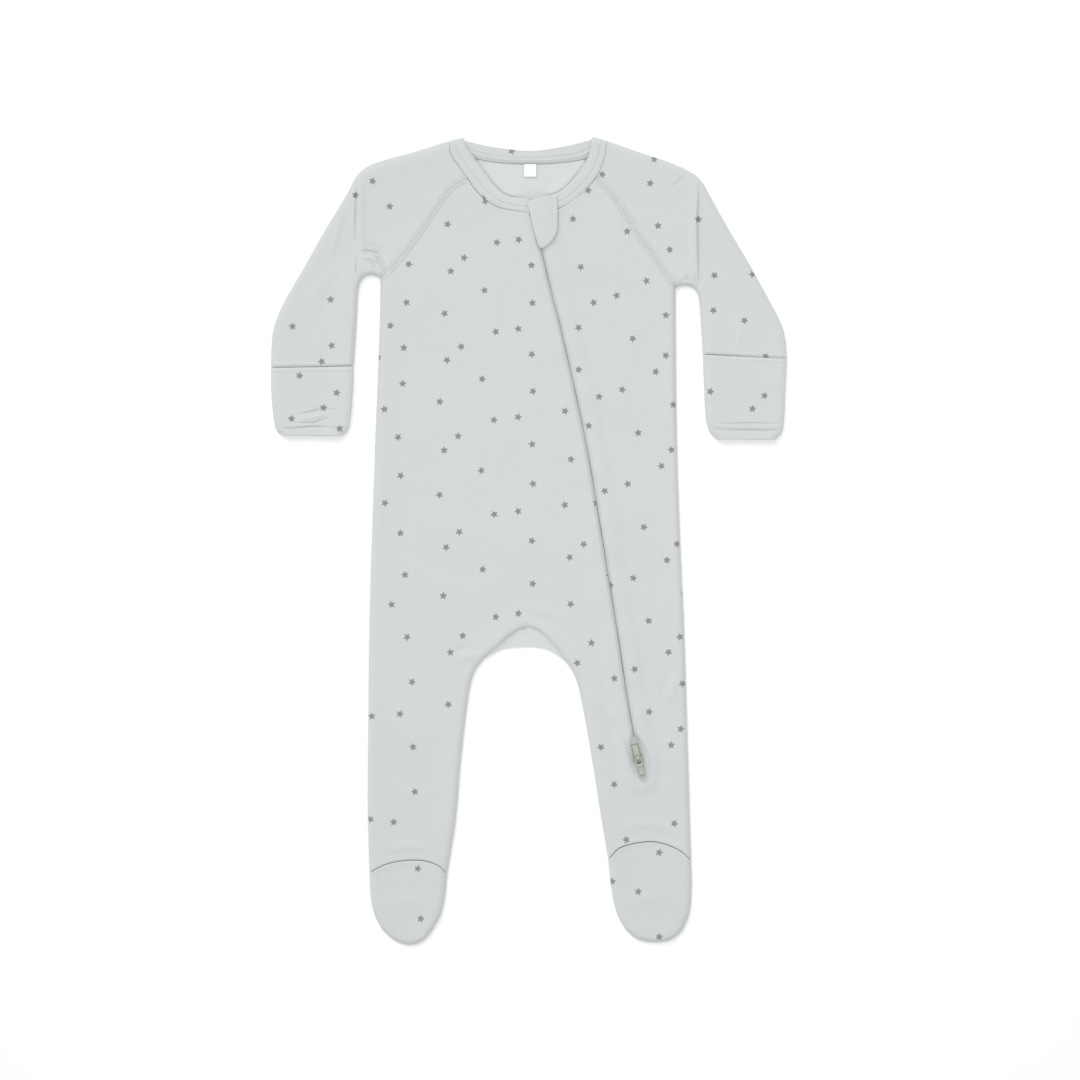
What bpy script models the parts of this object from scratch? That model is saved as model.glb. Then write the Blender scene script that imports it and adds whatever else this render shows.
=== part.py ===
"""Footed baby sleepsuit with raglan sleeves and a diagonal zip, laid flat on its back.

+X is the wearer's left, +Y points to the neck and +Z is up. The suit rests on z = 0 and the
origin is the middle of its box there. "right" and "left" in names are the wearer's. Sizes and
tables are in millimetres; every curve table has the columns row, x, y, and its curve runs
smoothly through the rows. Rows of the body go from 0 at the neck over 2 at the armpit and 6 at
the crotch to 10 at the instep. Rows of a sleeve go from 0 at the neck over 4 at the armpit to
10 at the cuff seam.
"""
import math

import bmesh
import bpy
from mathutils import Vector

MM = 0.001

# Cloth and seams
WALL = 1.2              # jersey wall
SEAM_GAP = 0.4          # between two pieces that are sewn edge to edge
CURVED_GAP = 0.6        # the same along a tightly curved seam
LAYER_GAP = 0.3         # between one piece and another that lies on it
FOLD_RADIUS = 2.4       # in plan, where a sleeve or the binding folds from front to back
BINDING_LIFT = 0.4      # the doubled binding stands this much above the panel
GUARD_WALL = 1.5
HEM_LIFT = 0.5          # turned hem of a cuff
HEM_DEPTH = 6.0

# Upper layer near a soft rolled edge: distance from the edge, top face, under face
EDGE_ROLL = (
    (0.0, 2.3, 1.5),
    (1.2, 4.0, 1.5),
    (2.6, 4.8, 3.3),
    (7.0, 4.5, 3.3),
    (14.0, 3.8, 2.6),
    (22.0, 3.5, 2.3),
)

# How finely the pieces are divided: lines at these distances from an edge, and steps
ROLL_LINES = tuple(row[0] for row in EDGE_ROLL[:5])
ZIP_LINES = (0.0, 5.0, 12.0)
FOLD_LINES = (0.0, 4.6, 11.6)
CUFF_LINES = (FOLD_LINES, 2, FOLD_LINES)
MOST_FILLED = 0.8       # on a narrow stretch the edge lines take up to this share of the width
ROLL_STEPS = 4
NECK_STEPS = 14
BINDING_LINES = (0.0, 0.25, 0.5, 0.75, 1.0)     # shares of the binding's width
GUARD_STEPS = 8
LONG_EDGE_STEPS = 24    # samples of an edge, for distances from it
SLEEVE_FOLD_STEPS = 52
TOE_SIDE_STEPS = 8
TOE_TIP_STEPS = 12
ZIP_STEPS = 48
NEARBY = 0.02           # rows from a place at which the way of a curve is read
FIRST_ROW = 0.03        # a piece starts this far from the seam at its row 0

# Neck: the seam of the binding and its free edge. Row 0 is the shoulder fold, 1 the raglan
# seam, 2 a line down the front and 3 the zip.
NECK_SEAM_RIGHT = (
    (0.0, -57.0, 284.6),
    (0.4, -55.8, 276.6),
    (1.0, -44.8, 260.8),
    (1.5, -34.5, 247.4),
    (2.0, -22.0, 239.3),
    (3.0, 0.2, 234.8),
)
NECK_SEAM_LEFT = (
    (0.0, 55.9, 284.6),
    (0.4, 54.4, 274.6),
    (1.0, 48.4, 261.0),
    (1.5, 38.4, 249.6),
    (2.0, 25.8, 240.2),
    (3.0, 7.0, 235.6),
)
NECK_FREE_RIGHT = (
    (0.0, -46.9, 287.1),
    (0.6, -43.4, 280.6),
    (1.0, -36.7, 271.0),
    (2.0, -18.9, 249.6),
    (3.0, 0.0, 244.9),
)
NECK_FREE_LEFT = (
    (0.0, 45.1, 287.8),
    (0.6, 43.8, 279.8),
    (1.0, 39.9, 270.0),
    (2.0, 23.8, 251.6),
    (3.0, 7.4, 246.0),
)
BACK_NECK_SEAM = (
    (0.0, -57.0, 284.6),
    (0.5, -46.4, 278.6),
    (1.0, -36.7, 274.3),
    (1.5, -18.5, 271.7),
    (2.0, 0.8, 271.0),
    (2.5, 20.0, 271.7),
    (3.0, 39.2, 274.3),
    (3.5, 47.8, 278.9),
    (4.0, 55.9, 284.6),
)
BACK_NECK_FREE = (
    (0.0, -46.9, 287.1),
    (1.0, -28.5, 282.9),
    (2.0, 0.0, 279.7),
    (3.0, 26.5, 283.1),
    (4.0, 45.1, 287.8),
)

# Front and back panels
RAGLAN_RIGHT = (
    (0.0, -44.8, 260.8),
    (0.4, -57.6, 251.6),
    (1.0, -74.9, 226.8),
    (1.5, -92.2, 203.4),
    (2.0, -106.8, 188.3),
)
RAGLAN_LEFT = (
    (0.0, 48.4, 261.0),
    (0.4, 59.8, 248.8),
    (1.0, 74.2, 226.8),
    (1.5, 90.4, 202.8),
    (2.0, 105.4, 181.4),
)
BACK_RAGLAN_RIGHT = (
    (0.0, -36.7, 274.3),
    (1.0, -71.0, 231.4),
    (2.0, -106.8, 188.3),
)
BACK_RAGLAN_LEFT = (
    (0.0, 39.2, 274.3),
    (1.0, 72.6, 228.6),
    (2.0, 105.4, 181.4),
)
SIDE_RIGHT = (
    (2.0, -106.8, 188.3),
    (3.0, -107.6, 147.0),
    (4.0, -110.4, 75.0),
    (5.0, -112.9, 5.0),
    (6.0, -114.8, -62.0),
    (8.0, -115.8, -155.0),
    (9.0, -115.9, -198.0),
    (10.0, -114.7, -239.0),
)
SIDE_LEFT = (
    (2.0, 105.4, 181.4),
    (3.0, 105.5, 145.0),
    (4.0, 106.3, 73.0),
    (5.0, 108.5, 3.0),
    (6.0, 111.4, -62.0),
    (8.0, 114.3, -155.0),
    (9.0, 115.4, -196.0),
    (10.0, 116.5, -230.0),
)
FRONT_LINE = (
    (0.0, -22.0, 239.3),
    (2.0, -17.0, 180.0),
    (4.0, -9.0, 75.0),
    (6.0, 2.2, -63.4),
)
BACK_LINE = (
    (0.0, 0.8, 271.0),
    (3.0, 0.8, 147.0),
    (6.0, 1.4, -76.6),
)
INSEAM_RIGHT = (
    (6.0, 2.2, -63.4),
    (6.25, -9.6, -67.6),
    (6.5, -22.0, -75.8),
    (6.7, -32.6, -85.8),
    (6.85, -39.4, -95.2),
    (7.0, -43.0, -108.0),
    (8.0, -49.0, -157.0),
    (9.0, -52.8, -201.0),
    (10.0, -59.0, -240.0),
)
INSEAM_LEFT = (
    (6.0, 2.2, -63.4),
    (6.25, 10.2, -68.4),
    (6.5, 17.6, -76.4),
    (6.7, 24.8, -85.6),
    (6.85, 31.4, -94.4),
    (7.0, 36.0, -107.0),
    (8.0, 45.0, -155.0),
    (9.0, 51.6, -197.0),
    (10.0, 57.0, -229.0),
)
BACK_INSEAM_RIGHT = (
    (6.0, 1.4, -76.6),
    (6.25, -10.8, -77.2),
    (6.5, -22.4, -80.2),
) + INSEAM_RIGHT[3:]
BACK_INSEAM_LEFT = (
    (6.0, 1.4, -76.6),
    (6.25, 10.4, -77.8),
    (6.5, 18.4, -81.4),
) + INSEAM_LEFT[3:]

# Centre of the zip; row 8.3 is the end of its slit
ZIP_LINE = (
    (-0.4, 2.2, 244.8),
    (0.0, 3.6, 234.7),
    (0.5, 6.2, 222.0),
    (1.0, 9.2, 208.0),
    (2.0, 16.2, 178.0),
    (3.0, 24.0, 147.5),
    (4.0, 40.4, 73.0),
    (5.0, 52.4, 3.0),
    (6.0, 63.4, -65.0),
    (7.0, 70.5, -112.0),
    (8.0, 78.3, -157.5),
    (9.0, 83.0, -194.0),
    (10.0, 83.5, -216.6),
)
SLIT_ROW = 8.16         # the slit keeps its width down to this row
SLIT_END_ROW = 8.3
SLIT_HALF = 2.4
ZIP_LIFT = 1.3          # the zip lifts the front
ZIP_LIFT_FLAT = 8.0     # ... by that much up to here from its centre
ZIP_LIFT_END = 16.0     # ... and not at all from here
TAPE_TOP_ROW = -0.36
TAPE_END_ROW = 8.1
TAPE_HALF = 7.0
TAPE_UNDER = 1.9
TAPE_TOP = 3.1
COIL_HALF = 1.8
COIL_SLOPE = 0.3        # in plan, from the top of the teeth down to the tape
COIL_TOP = 4.5
COIL_GAP = 0.15         # half the gap between the two rows of teeth

# Feet: the instep seam in the front, the heel seam in the back, and the outline of the toes
INSTEP_RIGHT = (
    (0.0, -114.7, -239.0),
    (0.2, -103.7, -233.2),
    (0.45, -89.3, -230.2),
    (0.7, -74.9, -230.4),
    (0.88, -64.4, -234.2),
    (1.0, -59.0, -240.0),
)
INSTEP_LEFT = (
    (0.0, 57.0, -229.0),
    (0.2, 65.8, -220.6),
    (0.45, 83.5, -216.6),
    (0.65, 95.6, -217.6),
    (0.87, 108.7, -223.0),
    (1.0, 116.5, -230.0),
)
ZIP_AT_INSTEP = 0.45    # row of INSTEP_LEFT where the line of the zip meets it
HEEL_ROW = 9.7          # body row where the heel seam starts at both leg edges
HEEL_RISE = 20.0
TOE_SIDE_RIGHT = (
    (0.0, -114.7, -239.0),
    (0.4, -114.0, -255.0),
    (0.75, -111.2, -269.0),
    (1.0, -105.8, -280.2),
)
TOE_TIP_RIGHT = (
    (0.0, -105.8, -280.2),
    (0.25, -97.5, -287.4),
    (0.5, -87.2, -291.2),
    (0.77, -76.4, -288.4),
    (1.0, -69.2, -280.2),
)
TOE_INNER_RIGHT = (
    (0.0, -59.0, -240.0),
    (0.4, -60.6, -256.0),
    (0.75, -63.6, -269.6),
    (1.0, -69.2, -280.2),
)
TOE_SIDE_LEFT = (
    (0.0, 116.5, -230.0),
    (0.4, 116.8, -251.0),
    (0.75, 115.2, -268.6),
    (1.0, 110.4, -280.8),
)
TOE_TIP_LEFT = (
    (0.0, 70.0, -281.0),
    (0.25, 78.4, -287.2),
    (0.5, 90.6, -289.4),
    (0.77, 102.6, -287.4),
    (1.0, 110.4, -280.8),
)
TOE_INNER_LEFT = (
    (0.0, 57.0, -229.0),
    (0.4, 59.6, -252.0),
    (0.75, 63.8, -269.6),
    (1.0, 70.0, -281.0),
)

# Sleeves: the fold over the shoulder and down the outer edge, and the underarm edge
FOLD_RIGHT = (
    (-0.4, -47.5, 289.4),
    (0.0, -57.6, 286.9),
    (1.0, -81.4, 279.4),
    (2.0, -97.9, 275.0),
    (3.0, -111.6, 270.7),
    (3.5, -119.2, 266.6),
    (4.0, -124.8, 260.6),
    (4.5, -129.2, 252.2),
    (5.0, -135.0, 242.0),
    (6.0, -148.0, 220.6),
    (7.0, -161.5, 196.5),
    (8.0, -174.4, 174.2),
    (8.5, -180.9, 160.5),
    (9.0, -184.5, 147.6),
    (10.0, -185.6, 124.2),
)
UNDERARM_RIGHT = (
    (4.0, -107.5, 189.0),
    (4.5, -112.6, 190.8),
    (5.0, -118.4, 189.2),
    (5.5, -121.8, 184.6),
    (6.0, -123.0, 177.6),
    (8.0, -124.5, 152.0),
    (10.0, -126.2, 125.4),
)
FOLD_LEFT = (
    (-0.4, 45.7, 290.2),
    (0.0, 56.5, 286.9),
    (1.0, 77.8, 279.4),
    (2.0, 91.4, 275.0),
    (3.0, 106.4, 269.4),
    (3.5, 116.6, 264.4),
    (4.0, 123.8, 258.4),
    (4.5, 128.6, 250.4),
    (5.0, 134.0, 240.4),
    (6.0, 146.8, 217.8),
    (7.0, 158.8, 197.6),
    (8.0, 171.0, 175.4),
    (8.5, 178.7, 161.0),
    (9.0, 183.3, 149.5),
    (10.0, 185.4, 130.8),
)
UNDERARM_LEFT = (
    (4.0, 106.1, 182.1),
    (4.5, 110.8, 182.9),
    (5.0, 116.6, 182.2),
    (5.5, 120.6, 179.0),
    (6.0, 122.2, 173.4),
    (8.0, 123.8, 154.0),
    (10.0, 125.0, 133.8),
)

# Cuffs: outer and inner edge from the cuff seam, row 0, to the rounded open end, row 1
CUFF_OUTER_RIGHT = (
    (0.0, -185.6, 123.7),
    (0.35, -185.4, 106.0),
    (0.75, -183.4, 86.0),
    (0.92, -181.2, 78.2),
    (1.0, -177.6, 75.4),
)
CUFF_INNER_RIGHT = (
    (0.0, -126.3, 124.9),
    (0.35, -126.9, 107.0),
    (0.75, -128.6, 87.0),
    (0.92, -130.4, 79.0),
    (1.0, -134.0, 75.0),
)
CUFF_OUTER_LEFT = (
    (0.0, 185.4, 130.3),
    (0.35, 184.2, 108.0),
    (0.75, 183.2, 85.6),
    (0.92, 181.4, 76.6),
    (1.0, 177.4, 72.4),
)
CUFF_INNER_LEFT = (
    (0.0, 125.0, 133.3),
    (0.35, 126.0, 108.0),
    (0.75, 127.4, 86.6),
    (0.92, 130.0, 77.6),
    (1.0, 134.6, 72.8),
)

# Chin guard at the top of the zip
GUARD_LEFT_EDGE = (
    (0.0, -1.2, 242.8),
    (0.5, 2.4, 226.6),
    (1.0, 6.6, 211.4),
)
GUARD_RIGHT_EDGE = (
    (0.0, 20.2, 247.8),
    (0.4, 20.6, 234.0),
    (0.8, 20.0, 221.6),
    (1.0, 16.4, 214.2),
)
GUARD_TOP_EDGE = (
    (0.0, -1.2, 242.8),
    (0.5, 9.6, 246.6),
    (1.0, 20.2, 247.8),
)
GUARD_TIP_EDGE = (
    (0.0, 6.6, 211.4),
    (0.45, 9.6, 209.4),
    (1.0, 16.4, 214.2),
)

# Soft ridges and troughs of the upper layer: start x, y, end x, y, half width, height
FOLD_END_SHARE = 0.35   # of its height, at both ends of a ridge or trough
FOLDS = (
    (-123.8, 258.0, -123.4, 196.0, 6.5, 1.6),     # pleat where the right sleeve turns down
    (123.2, 254.0, 122.8, 190.0, 6.5, 1.6),       # and the left one
    (-136.0, 200.0, -166.0, 160.0, 11.0, 0.7),
    (134.0, 196.0, 160.0, 158.0, 11.0, 0.6),
    (-53.0, -86.0, -36.0, -83.0, 6.0, 0.7),       # where the legs part
    (38.0, -106.0, 60.0, -127.0, 8.0, 1.1),
    (98.0, -116.0, 109.0, -94.0, 7.0, 0.8),
    (-8.0, -50.0, 30.0, -66.0, 7.0, -0.5),
    (-96.0, -222.0, -74.0, -206.0, 8.0, 0.9),     # above the insteps
    (72.0, -196.0, 100.0, -206.0, 8.0, 0.8),
    (-104.0, -262.0, -72.0, -258.0, 8.0, 0.7),    # over the toes
    (72.0, -258.0, 104.0, -262.0, 8.0, 0.7),
)

# Neck label
LABEL_X = (-3.6, 5.4)
LABEL_Y = (261.6, 270.2)
LABEL_THICK = 1.0
LABEL_ROUNDING = 0.2

# Zip slider and pull tab, in a frame with its origin on the hinge and +Y up the zip. The mouth of
# the slider faces down, where the zip opens. Half outlines have the columns x, y.
HINGE_ROW = 7.98
HINGE_Z = 7.5
SLIDER_LEAN = math.radians(5.0)     # the slider and its pull lie a little askew on the teeth
SLIDER_THICK = 1.2
SLIDER_UNDER = 5.1
SLIDER_ROUNDING = 0.4
SLIDER_OUTLINE = (
    (1.2, 15.8),
    (2.7, 13.6),
    (3.7, 9.4),
    (4.2, 3.0),
    (4.2, -2.2),
    (3.4, -3.2),
)
BAIL_SIZE = (2.0, 5.4)
BAIL_TOP = 9.5
TUNNEL_LENGTH = 3.6
TUNNEL_Z = (6.5, 8.5)
PULL_THICK = 1.0
PULL_OUTLINE = (
    (2.8, 0.5),
    (2.8, -4.9),
    (2.5, -5.9),
    (2.5, -13.2),
    (1.7, -14.3),
)
EYE_HALF = 1.4
EYE_Y = (-3.9, -0.5)
TIP_HOLE = (0.9, -12.2)     # radius and place of the hole at the tip
HOLE_SIDES = 16

JERSEY = (0.69, 0.72, 0.72, 1.0)
JERSEY_LIGHT = (0.75, 0.77, 0.77, 1.0)
TAPE = (0.45, 0.48, 0.46, 1.0)
METAL = (0.55, 0.56, 0.56, 1.0)
LABEL_WHITE = (0.9, 0.9, 0.9, 1.0)
CLOTH_ROUGHNESS = 0.9
TAPE_ROUGHNESS = 0.7
METAL_ROUGHNESS = 0.35
LABEL_ROUGHNESS = 0.7
SHARP_ANGLE = math.radians(50)


# ---------------------------------------------------------------- curves and patches

def slope(table, i):
    """Direction of the curve at a row of its table, per unit of row."""
    low = max(i - 1, 0)
    high = min(i + 1, len(table) - 1)
    step = table[high][0] - table[low][0]
    return (Vector(table[high][1:]) - Vector(table[low][1:])) / step


def at(table, row):
    """Point of a table's curve at a row."""
    i = 0
    while i < len(table) - 2 and table[i + 1][0] <= row:
        i += 1
    step = table[i + 1][0] - table[i][0]
    t = (row - table[i][0]) / step
    a, b = Vector(table[i][1:]), Vector(table[i + 1][1:])
    blend = t * t * (3 - 2 * t)
    start = slope(table, i) * step * t * (1 - t) ** 2
    end = slope(table, i + 1) * step * t * t * (t - 1)
    return a + (b - a) * blend + start + end


def along(tables, row):
    """Point at a row of an edge whose tables meet at corners."""
    for table in tables:
        if row <= table[-1][0]:
            return at(table, row)
    return at(tables[-1], row)


def beside(tables, row, distance):
    """The same, moved to the left-hand side of the way that the edge runs."""
    table = next((t for t in tables if row <= t[-1][0]), tables[-1])
    low = max(row - NEARBY, table[0][0])
    high = min(row + NEARBY, table[-1][0])
    way = (at(table, high) - at(table, low)).normalized()
    return at(table, row) + Vector((-way.y, way.x)) * distance


def coons(left, right, top, bottom, u, v):
    """Point inside four edges, each a function from 0..1 to a point."""
    sides = left(v).lerp(right(v), u)
    ends = top(u).lerp(bottom(u), v)
    corners = left(0).lerp(right(0), u).lerp(left(1).lerp(right(1), u), v)
    return sides + ends - corners


def lines_across(width, from_left, middle, from_right):
    """Fractions of a width with lines at given distances from both edges."""
    reach = from_left[-1] + from_right[-1]
    scale = min(1.0, MOST_FILLED * width / reach) / width if reach else 1.0 / width
    left = [d * scale for d in from_left]
    right = [1.0 - d * scale for d in reversed(from_right)]
    inner = [left[-1] + (right[0] - left[-1]) * (i + 1) / (middle + 1) for i in range(middle)]
    return left + inner + right


def rows_between(stations, counts):
    """Rows from each station to the next, split in the given numbers of steps."""
    rows = [stations[0]]
    for low, high, count in zip(stations, stations[1:], counts):
        rows += [low + (high - low) * (i + 1) / count for i in range(count)]
    return rows


# ---------------------------------------------------------------- height of the upper layer

def sampled(tables, low, high, steps):
    return [along(tables, low + (high - low) * i / steps) for i in range(steps + 1)]


ROLLED_EDGES = (
    sampled((SIDE_RIGHT,), 2, 10, LONG_EDGE_STEPS),
    sampled((SIDE_LEFT,), 2, 10, LONG_EDGE_STEPS),
    sampled((INSEAM_RIGHT,), 6, 10, LONG_EDGE_STEPS),
    sampled((INSEAM_LEFT,), 6, 10, LONG_EDGE_STEPS),
    sampled((UNDERARM_RIGHT,), 4, 10, LONG_EDGE_STEPS),
    sampled((UNDERARM_LEFT,), 4, 10, LONG_EDGE_STEPS),
    sampled((FOLD_RIGHT,), -0.4, 10, SLEEVE_FOLD_STEPS),
    sampled((FOLD_LEFT,), -0.4, 10, SLEEVE_FOLD_STEPS),
    sampled((TOE_SIDE_RIGHT,), 0, 1, TOE_SIDE_STEPS),
    sampled((TOE_TIP_RIGHT,), 0, 1, TOE_TIP_STEPS),
    sampled((TOE_INNER_RIGHT,), 0, 1, TOE_SIDE_STEPS),
    sampled((TOE_SIDE_LEFT,), 0, 1, TOE_SIDE_STEPS),
    sampled((TOE_TIP_LEFT,), 0, 1, TOE_TIP_STEPS),
    sampled((TOE_INNER_LEFT,), 0, 1, TOE_SIDE_STEPS),
)
ZIP_PATH = sampled((ZIP_LINE,), -0.4, SLIT_END_ROW, ZIP_STEPS)


def segment_distance(point, a, b):
    """Distance to a segment, and how far along it the nearest point is."""
    way = b - a
    t = min(max((point - a).dot(way) / way.length_squared, 0.0), 1.0)
    return (point - a - way * t).length, t


def path_distance(point, path):
    return min(segment_distance(point, a, b)[0] for a, b in zip(path, path[1:]))


def fold_height(point):
    """Height that the soft folds add, full in the middle of each and fading to its ends."""
    height = 0.0
    for x0, y0, x1, y1, half, rise in FOLDS:
        distance, t = segment_distance(point, Vector((x0, y0)), Vector((x1, y1)))
        if distance < half:
            across = 0.5 + 0.5 * math.cos(math.pi * distance / half)
            height += rise * across * (FOLD_END_SHARE + (1 - FOLD_END_SHARE) * math.sin(math.pi * t))
    return height


def upper(point):
    """Top and under face of the upper layer at a place in plan."""
    d = min(path_distance(point, path) for path in ROLLED_EDGES)
    top, under = EDGE_ROLL[-1][1:]
    for low, high in zip(EDGE_ROLL, EDGE_ROLL[1:]):
        if d < high[0]:
            t = (d - low[0]) / (high[0] - low[0])
            top = low[1] + (high[1] - low[1]) * t
            under = low[2] + (high[2] - low[2]) * t
            break
    free = min(d / EDGE_ROLL[3][0], 1.0)
    zip_near = path_distance(point, ZIP_PATH)
    t = min(max((ZIP_LIFT_END - zip_near) / (ZIP_LIFT_END - ZIP_LIFT_FLAT), 0.0), 1.0)
    lift = free * (ZIP_LIFT * t * t * (3 - 2 * t) + fold_height(point))
    return top + lift, under + lift


# ---------------------------------------------------------------- objects

def finish(obj, colour, roughness, metallic=0.0):
    """Give an object a material of its own."""
    material = bpy.data.materials.new(obj.name + "_finish")
    material.use_nodes = True
    shader = material.node_tree.nodes["Principled BSDF"]
    shader.inputs["Base Color"].default_value = colour
    shader.inputs["Roughness"].default_value = roughness
    shader.inputs["Metallic"].default_value = metallic
    obj.data.materials.append(material)


def new_object(name, bm, colour, roughness, metallic=0.0):
    mesh = bpy.data.meshes.new(name)
    bm.to_mesh(mesh)
    bm.free()
    obj = bpy.data.objects.new(name, mesh)
    bpy.context.collection.objects.link(obj)
    finish(obj, colour, roughness, metallic)
    return obj


def shell(name, patches, colour, roughness=CLOTH_ROUGHNESS):
    """Closed wall from grids of (outer, inner) points, welded where their points meet."""
    bm = bmesh.new()
    pairs = {}

    def pair(point):
        key = tuple(round(c, 3) for c in point[0])
        if key not in pairs:
            pairs[key] = [bm.verts.new(p * MM) for p in point]
        return key

    edges = set()
    for grid in patches:
        for row, following in zip(grid, grid[1:]):
            for i in range(len(row) - 1):
                corners = (row[i], following[i], following[i + 1], row[i + 1])
                quad = list(dict.fromkeys(pair(point) for point in corners))
                bm.faces.new([pairs[k][0] for k in quad])
                bm.faces.new([pairs[k][1] for k in reversed(quad)])
                edges.update(zip(quad, quad[1:] + quad[:1]))
    for a, b in edges:
        if (b, a) not in edges:
            bm.faces.new([pairs[b][0], pairs[a][0], pairs[a][1], pairs[b][1]])
    bmesh.ops.recalc_face_normals(bm, faces=bm.faces)
    obj = new_object(name, bm, colour, roughness)
    obj.data.shade_smooth()
    obj.data.set_sharp_from_angle(angle=SHARP_ANGLE)
    return obj


def raised(point, top_extra=0.0, under_extra=0.0):
    """Outer and inner point of the upper layer at a place in plan."""
    top, under = upper(point)
    return (
        Vector((point.x, point.y, top + top_extra)),
        Vector((point.x, point.y, under + under_extra)),
    )


def resting(point, wall=WALL):
    """Outer and inner point of a layer that lies on the surface, outer side down."""
    return Vector((point.x, point.y, 0.0)), Vector((point.x, point.y, wall))


def stretch(table, low, high, distance=0.0):
    """A stretch of a curve, from 0 to 1, moved to its left-hand side by a distance."""
    def edge(t):
        return beside((table,), low + (high - low) * t, distance)
    return edge


def pulled(start, end, curve):
    """A curve from 0 to 1 with its ends pulled to two points; without a curve, a straight line."""
    if curve is None:
        return lambda t: start.lerp(end, t)

    def edge(t):
        return curve(t) + (start - curve(0)) * (1 - t) + (end - curve(1)) * t
    return edge


def patch(rows, edge_left, edge_right, first_curve, last_curve, across, layer):
    """Grid of (outer, inner) points between two edges, given by row, and two end curves."""
    first, last = rows[0], rows[-1]
    top = pulled(edge_left(first), edge_right(first), first_curve)
    bottom = pulled(edge_left(last), edge_right(last), last_curve)

    def left(v):
        return edge_left(first + (last - first) * v)

    def right(v):
        return edge_right(first + (last - first) * v)

    grid = []
    for row in rows:
        v = (row - first) / (last - first)
        fractions = lines_across((left(v) - right(v)).length, *across)
        grid.append([layer(coons(left, right, top, bottom, u, v)) for u in fractions])
    return grid


def roll(top_pair, outward, wall):
    """Points round a fold, between its upper layer and the lower one that rests below."""
    outer, inner = top_pair
    pairs = []
    for i in range(1, ROLL_STEPS):
        angle = math.pi * i / ROLL_STEPS
        reach, swing = math.sin(angle), math.cos(angle)
        outer_out = outward * FOLD_RADIUS * reach
        inner_out = outward * (FOLD_RADIUS - wall) * reach
        outer_z = outer.z * (1 + swing) / 2
        inner_z = (inner.z + wall) / 2 + (inner.z - wall) / 2 * swing
        pairs.append((
            Vector((outer.x + outer_out.x, outer.y + outer_out.y, outer_z)),
            Vector((outer.x + inner_out.x, outer.y + inner_out.y, inner_z)),
        ))
    return pairs


BODY_ROWS = rows_between((FIRST_ROW, 2, 6, 7, 8, SLIT_ROW, SLIT_END_ROW, 10), (8, 8, 6, 3, 1, 1, 5))
SLEEVE_ROWS = rows_between((FIRST_ROW, 4, 6, 10), (6, 5, 6))
CUFF_ROWS = (0.0, 0.2, 0.4, 0.6, 0.75, 0.86, 0.94, 1.0)
TOE_ROWS = (FIRST_ROW, 0.2, 0.4, 0.56, 0.72, 0.86, 0.948, 0.976, 1.0)


# ---------------------------------------------------------------- pieces

def make_front():
    """Three patches: the right half with its leg, the middle, and the left half beyond the zip."""
    half = SEAM_GAP / 2

    def side_right(row):
        return beside((RAGLAN_RIGHT, SIDE_RIGHT), row, half if row < 2 else 0.0)

    def side_left(row):
        return beside((RAGLAN_LEFT, SIDE_LEFT), row, -half if row < 2 else 0.0)

    def line_right(row):
        return along((FRONT_LINE, INSEAM_RIGHT), row)

    def line_left(row):
        return along((FRONT_LINE, INSEAM_LEFT), row)

    def slit_right(row):
        return beside((ZIP_LINE,), row, -SLIT_HALF if row < SLIT_END_ROW else 0.0)

    def slit_left(row):
        return beside((ZIP_LINE,), row, SLIT_HALF if row < SLIT_END_ROW else 0.0)

    patches = (
        patch(
            BODY_ROWS, side_right, line_right,
            stretch(NECK_SEAM_RIGHT, 1, 2, -CURVED_GAP), stretch(INSTEP_RIGHT, 0, 1),
            (ROLL_LINES, 3, ROLL_LINES), raised,
        ),
        patch(
            BODY_ROWS, line_left, slit_right,
            stretch(NECK_SEAM_RIGHT, 2, 3, -CURVED_GAP), stretch(INSTEP_LEFT, 0, ZIP_AT_INSTEP),
            (ROLL_LINES, 2, ZIP_LINES), raised,
        ),
        patch(
            BODY_ROWS, slit_left, side_left,
            stretch(NECK_SEAM_LEFT, 3, 1, CURVED_GAP), stretch(INSTEP_LEFT, ZIP_AT_INSTEP, 1),
            (ZIP_LINES, 3, ROLL_LINES), raised,
        ),
    )
    shell("front", patches, JERSEY)


def heel(table_outer, table_inner):
    """Curve of the heel seam, from the outer to the inner edge of a leg."""
    start, end = at(table_outer, HEEL_ROW), at(table_inner, HEEL_ROW)

    def edge(t):
        return start.lerp(end, t) + Vector((0.0, HEEL_RISE * math.sin(math.pi * t)))
    return edge


def make_back():
    """Two flat patches that meet at the middle line."""
    half = SEAM_GAP / 2
    rows = rows_between((FIRST_ROW, 2, 6, 7, HEEL_ROW), (4, 8, 6, 5))

    def side_right(row):
        return beside((BACK_RAGLAN_RIGHT, SIDE_RIGHT), row, half if row < 2 else 0.0)

    def side_left(row):
        return beside((BACK_RAGLAN_LEFT, SIDE_LEFT), row, -half if row < 2 else 0.0)

    def line_right(row):
        return along((BACK_LINE, BACK_INSEAM_RIGHT), row)

    def line_left(row):
        return along((BACK_LINE, BACK_INSEAM_LEFT), row)

    patches = (
        patch(
            rows, side_right, line_right,
            stretch(BACK_NECK_SEAM, 1, 2, -CURVED_GAP), heel(SIDE_RIGHT, INSEAM_RIGHT),
            ((0.0,), 5, (0.0,)), resting,
        ),
        patch(
            rows, line_left, side_left,
            stretch(BACK_NECK_SEAM, 2, 3, -CURVED_GAP), heel(INSEAM_LEFT, SIDE_LEFT),
            ((0.0,), 5, (0.0,)), resting,
        ),
    )
    shell("back", patches, JERSEY_LIGHT)


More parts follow.
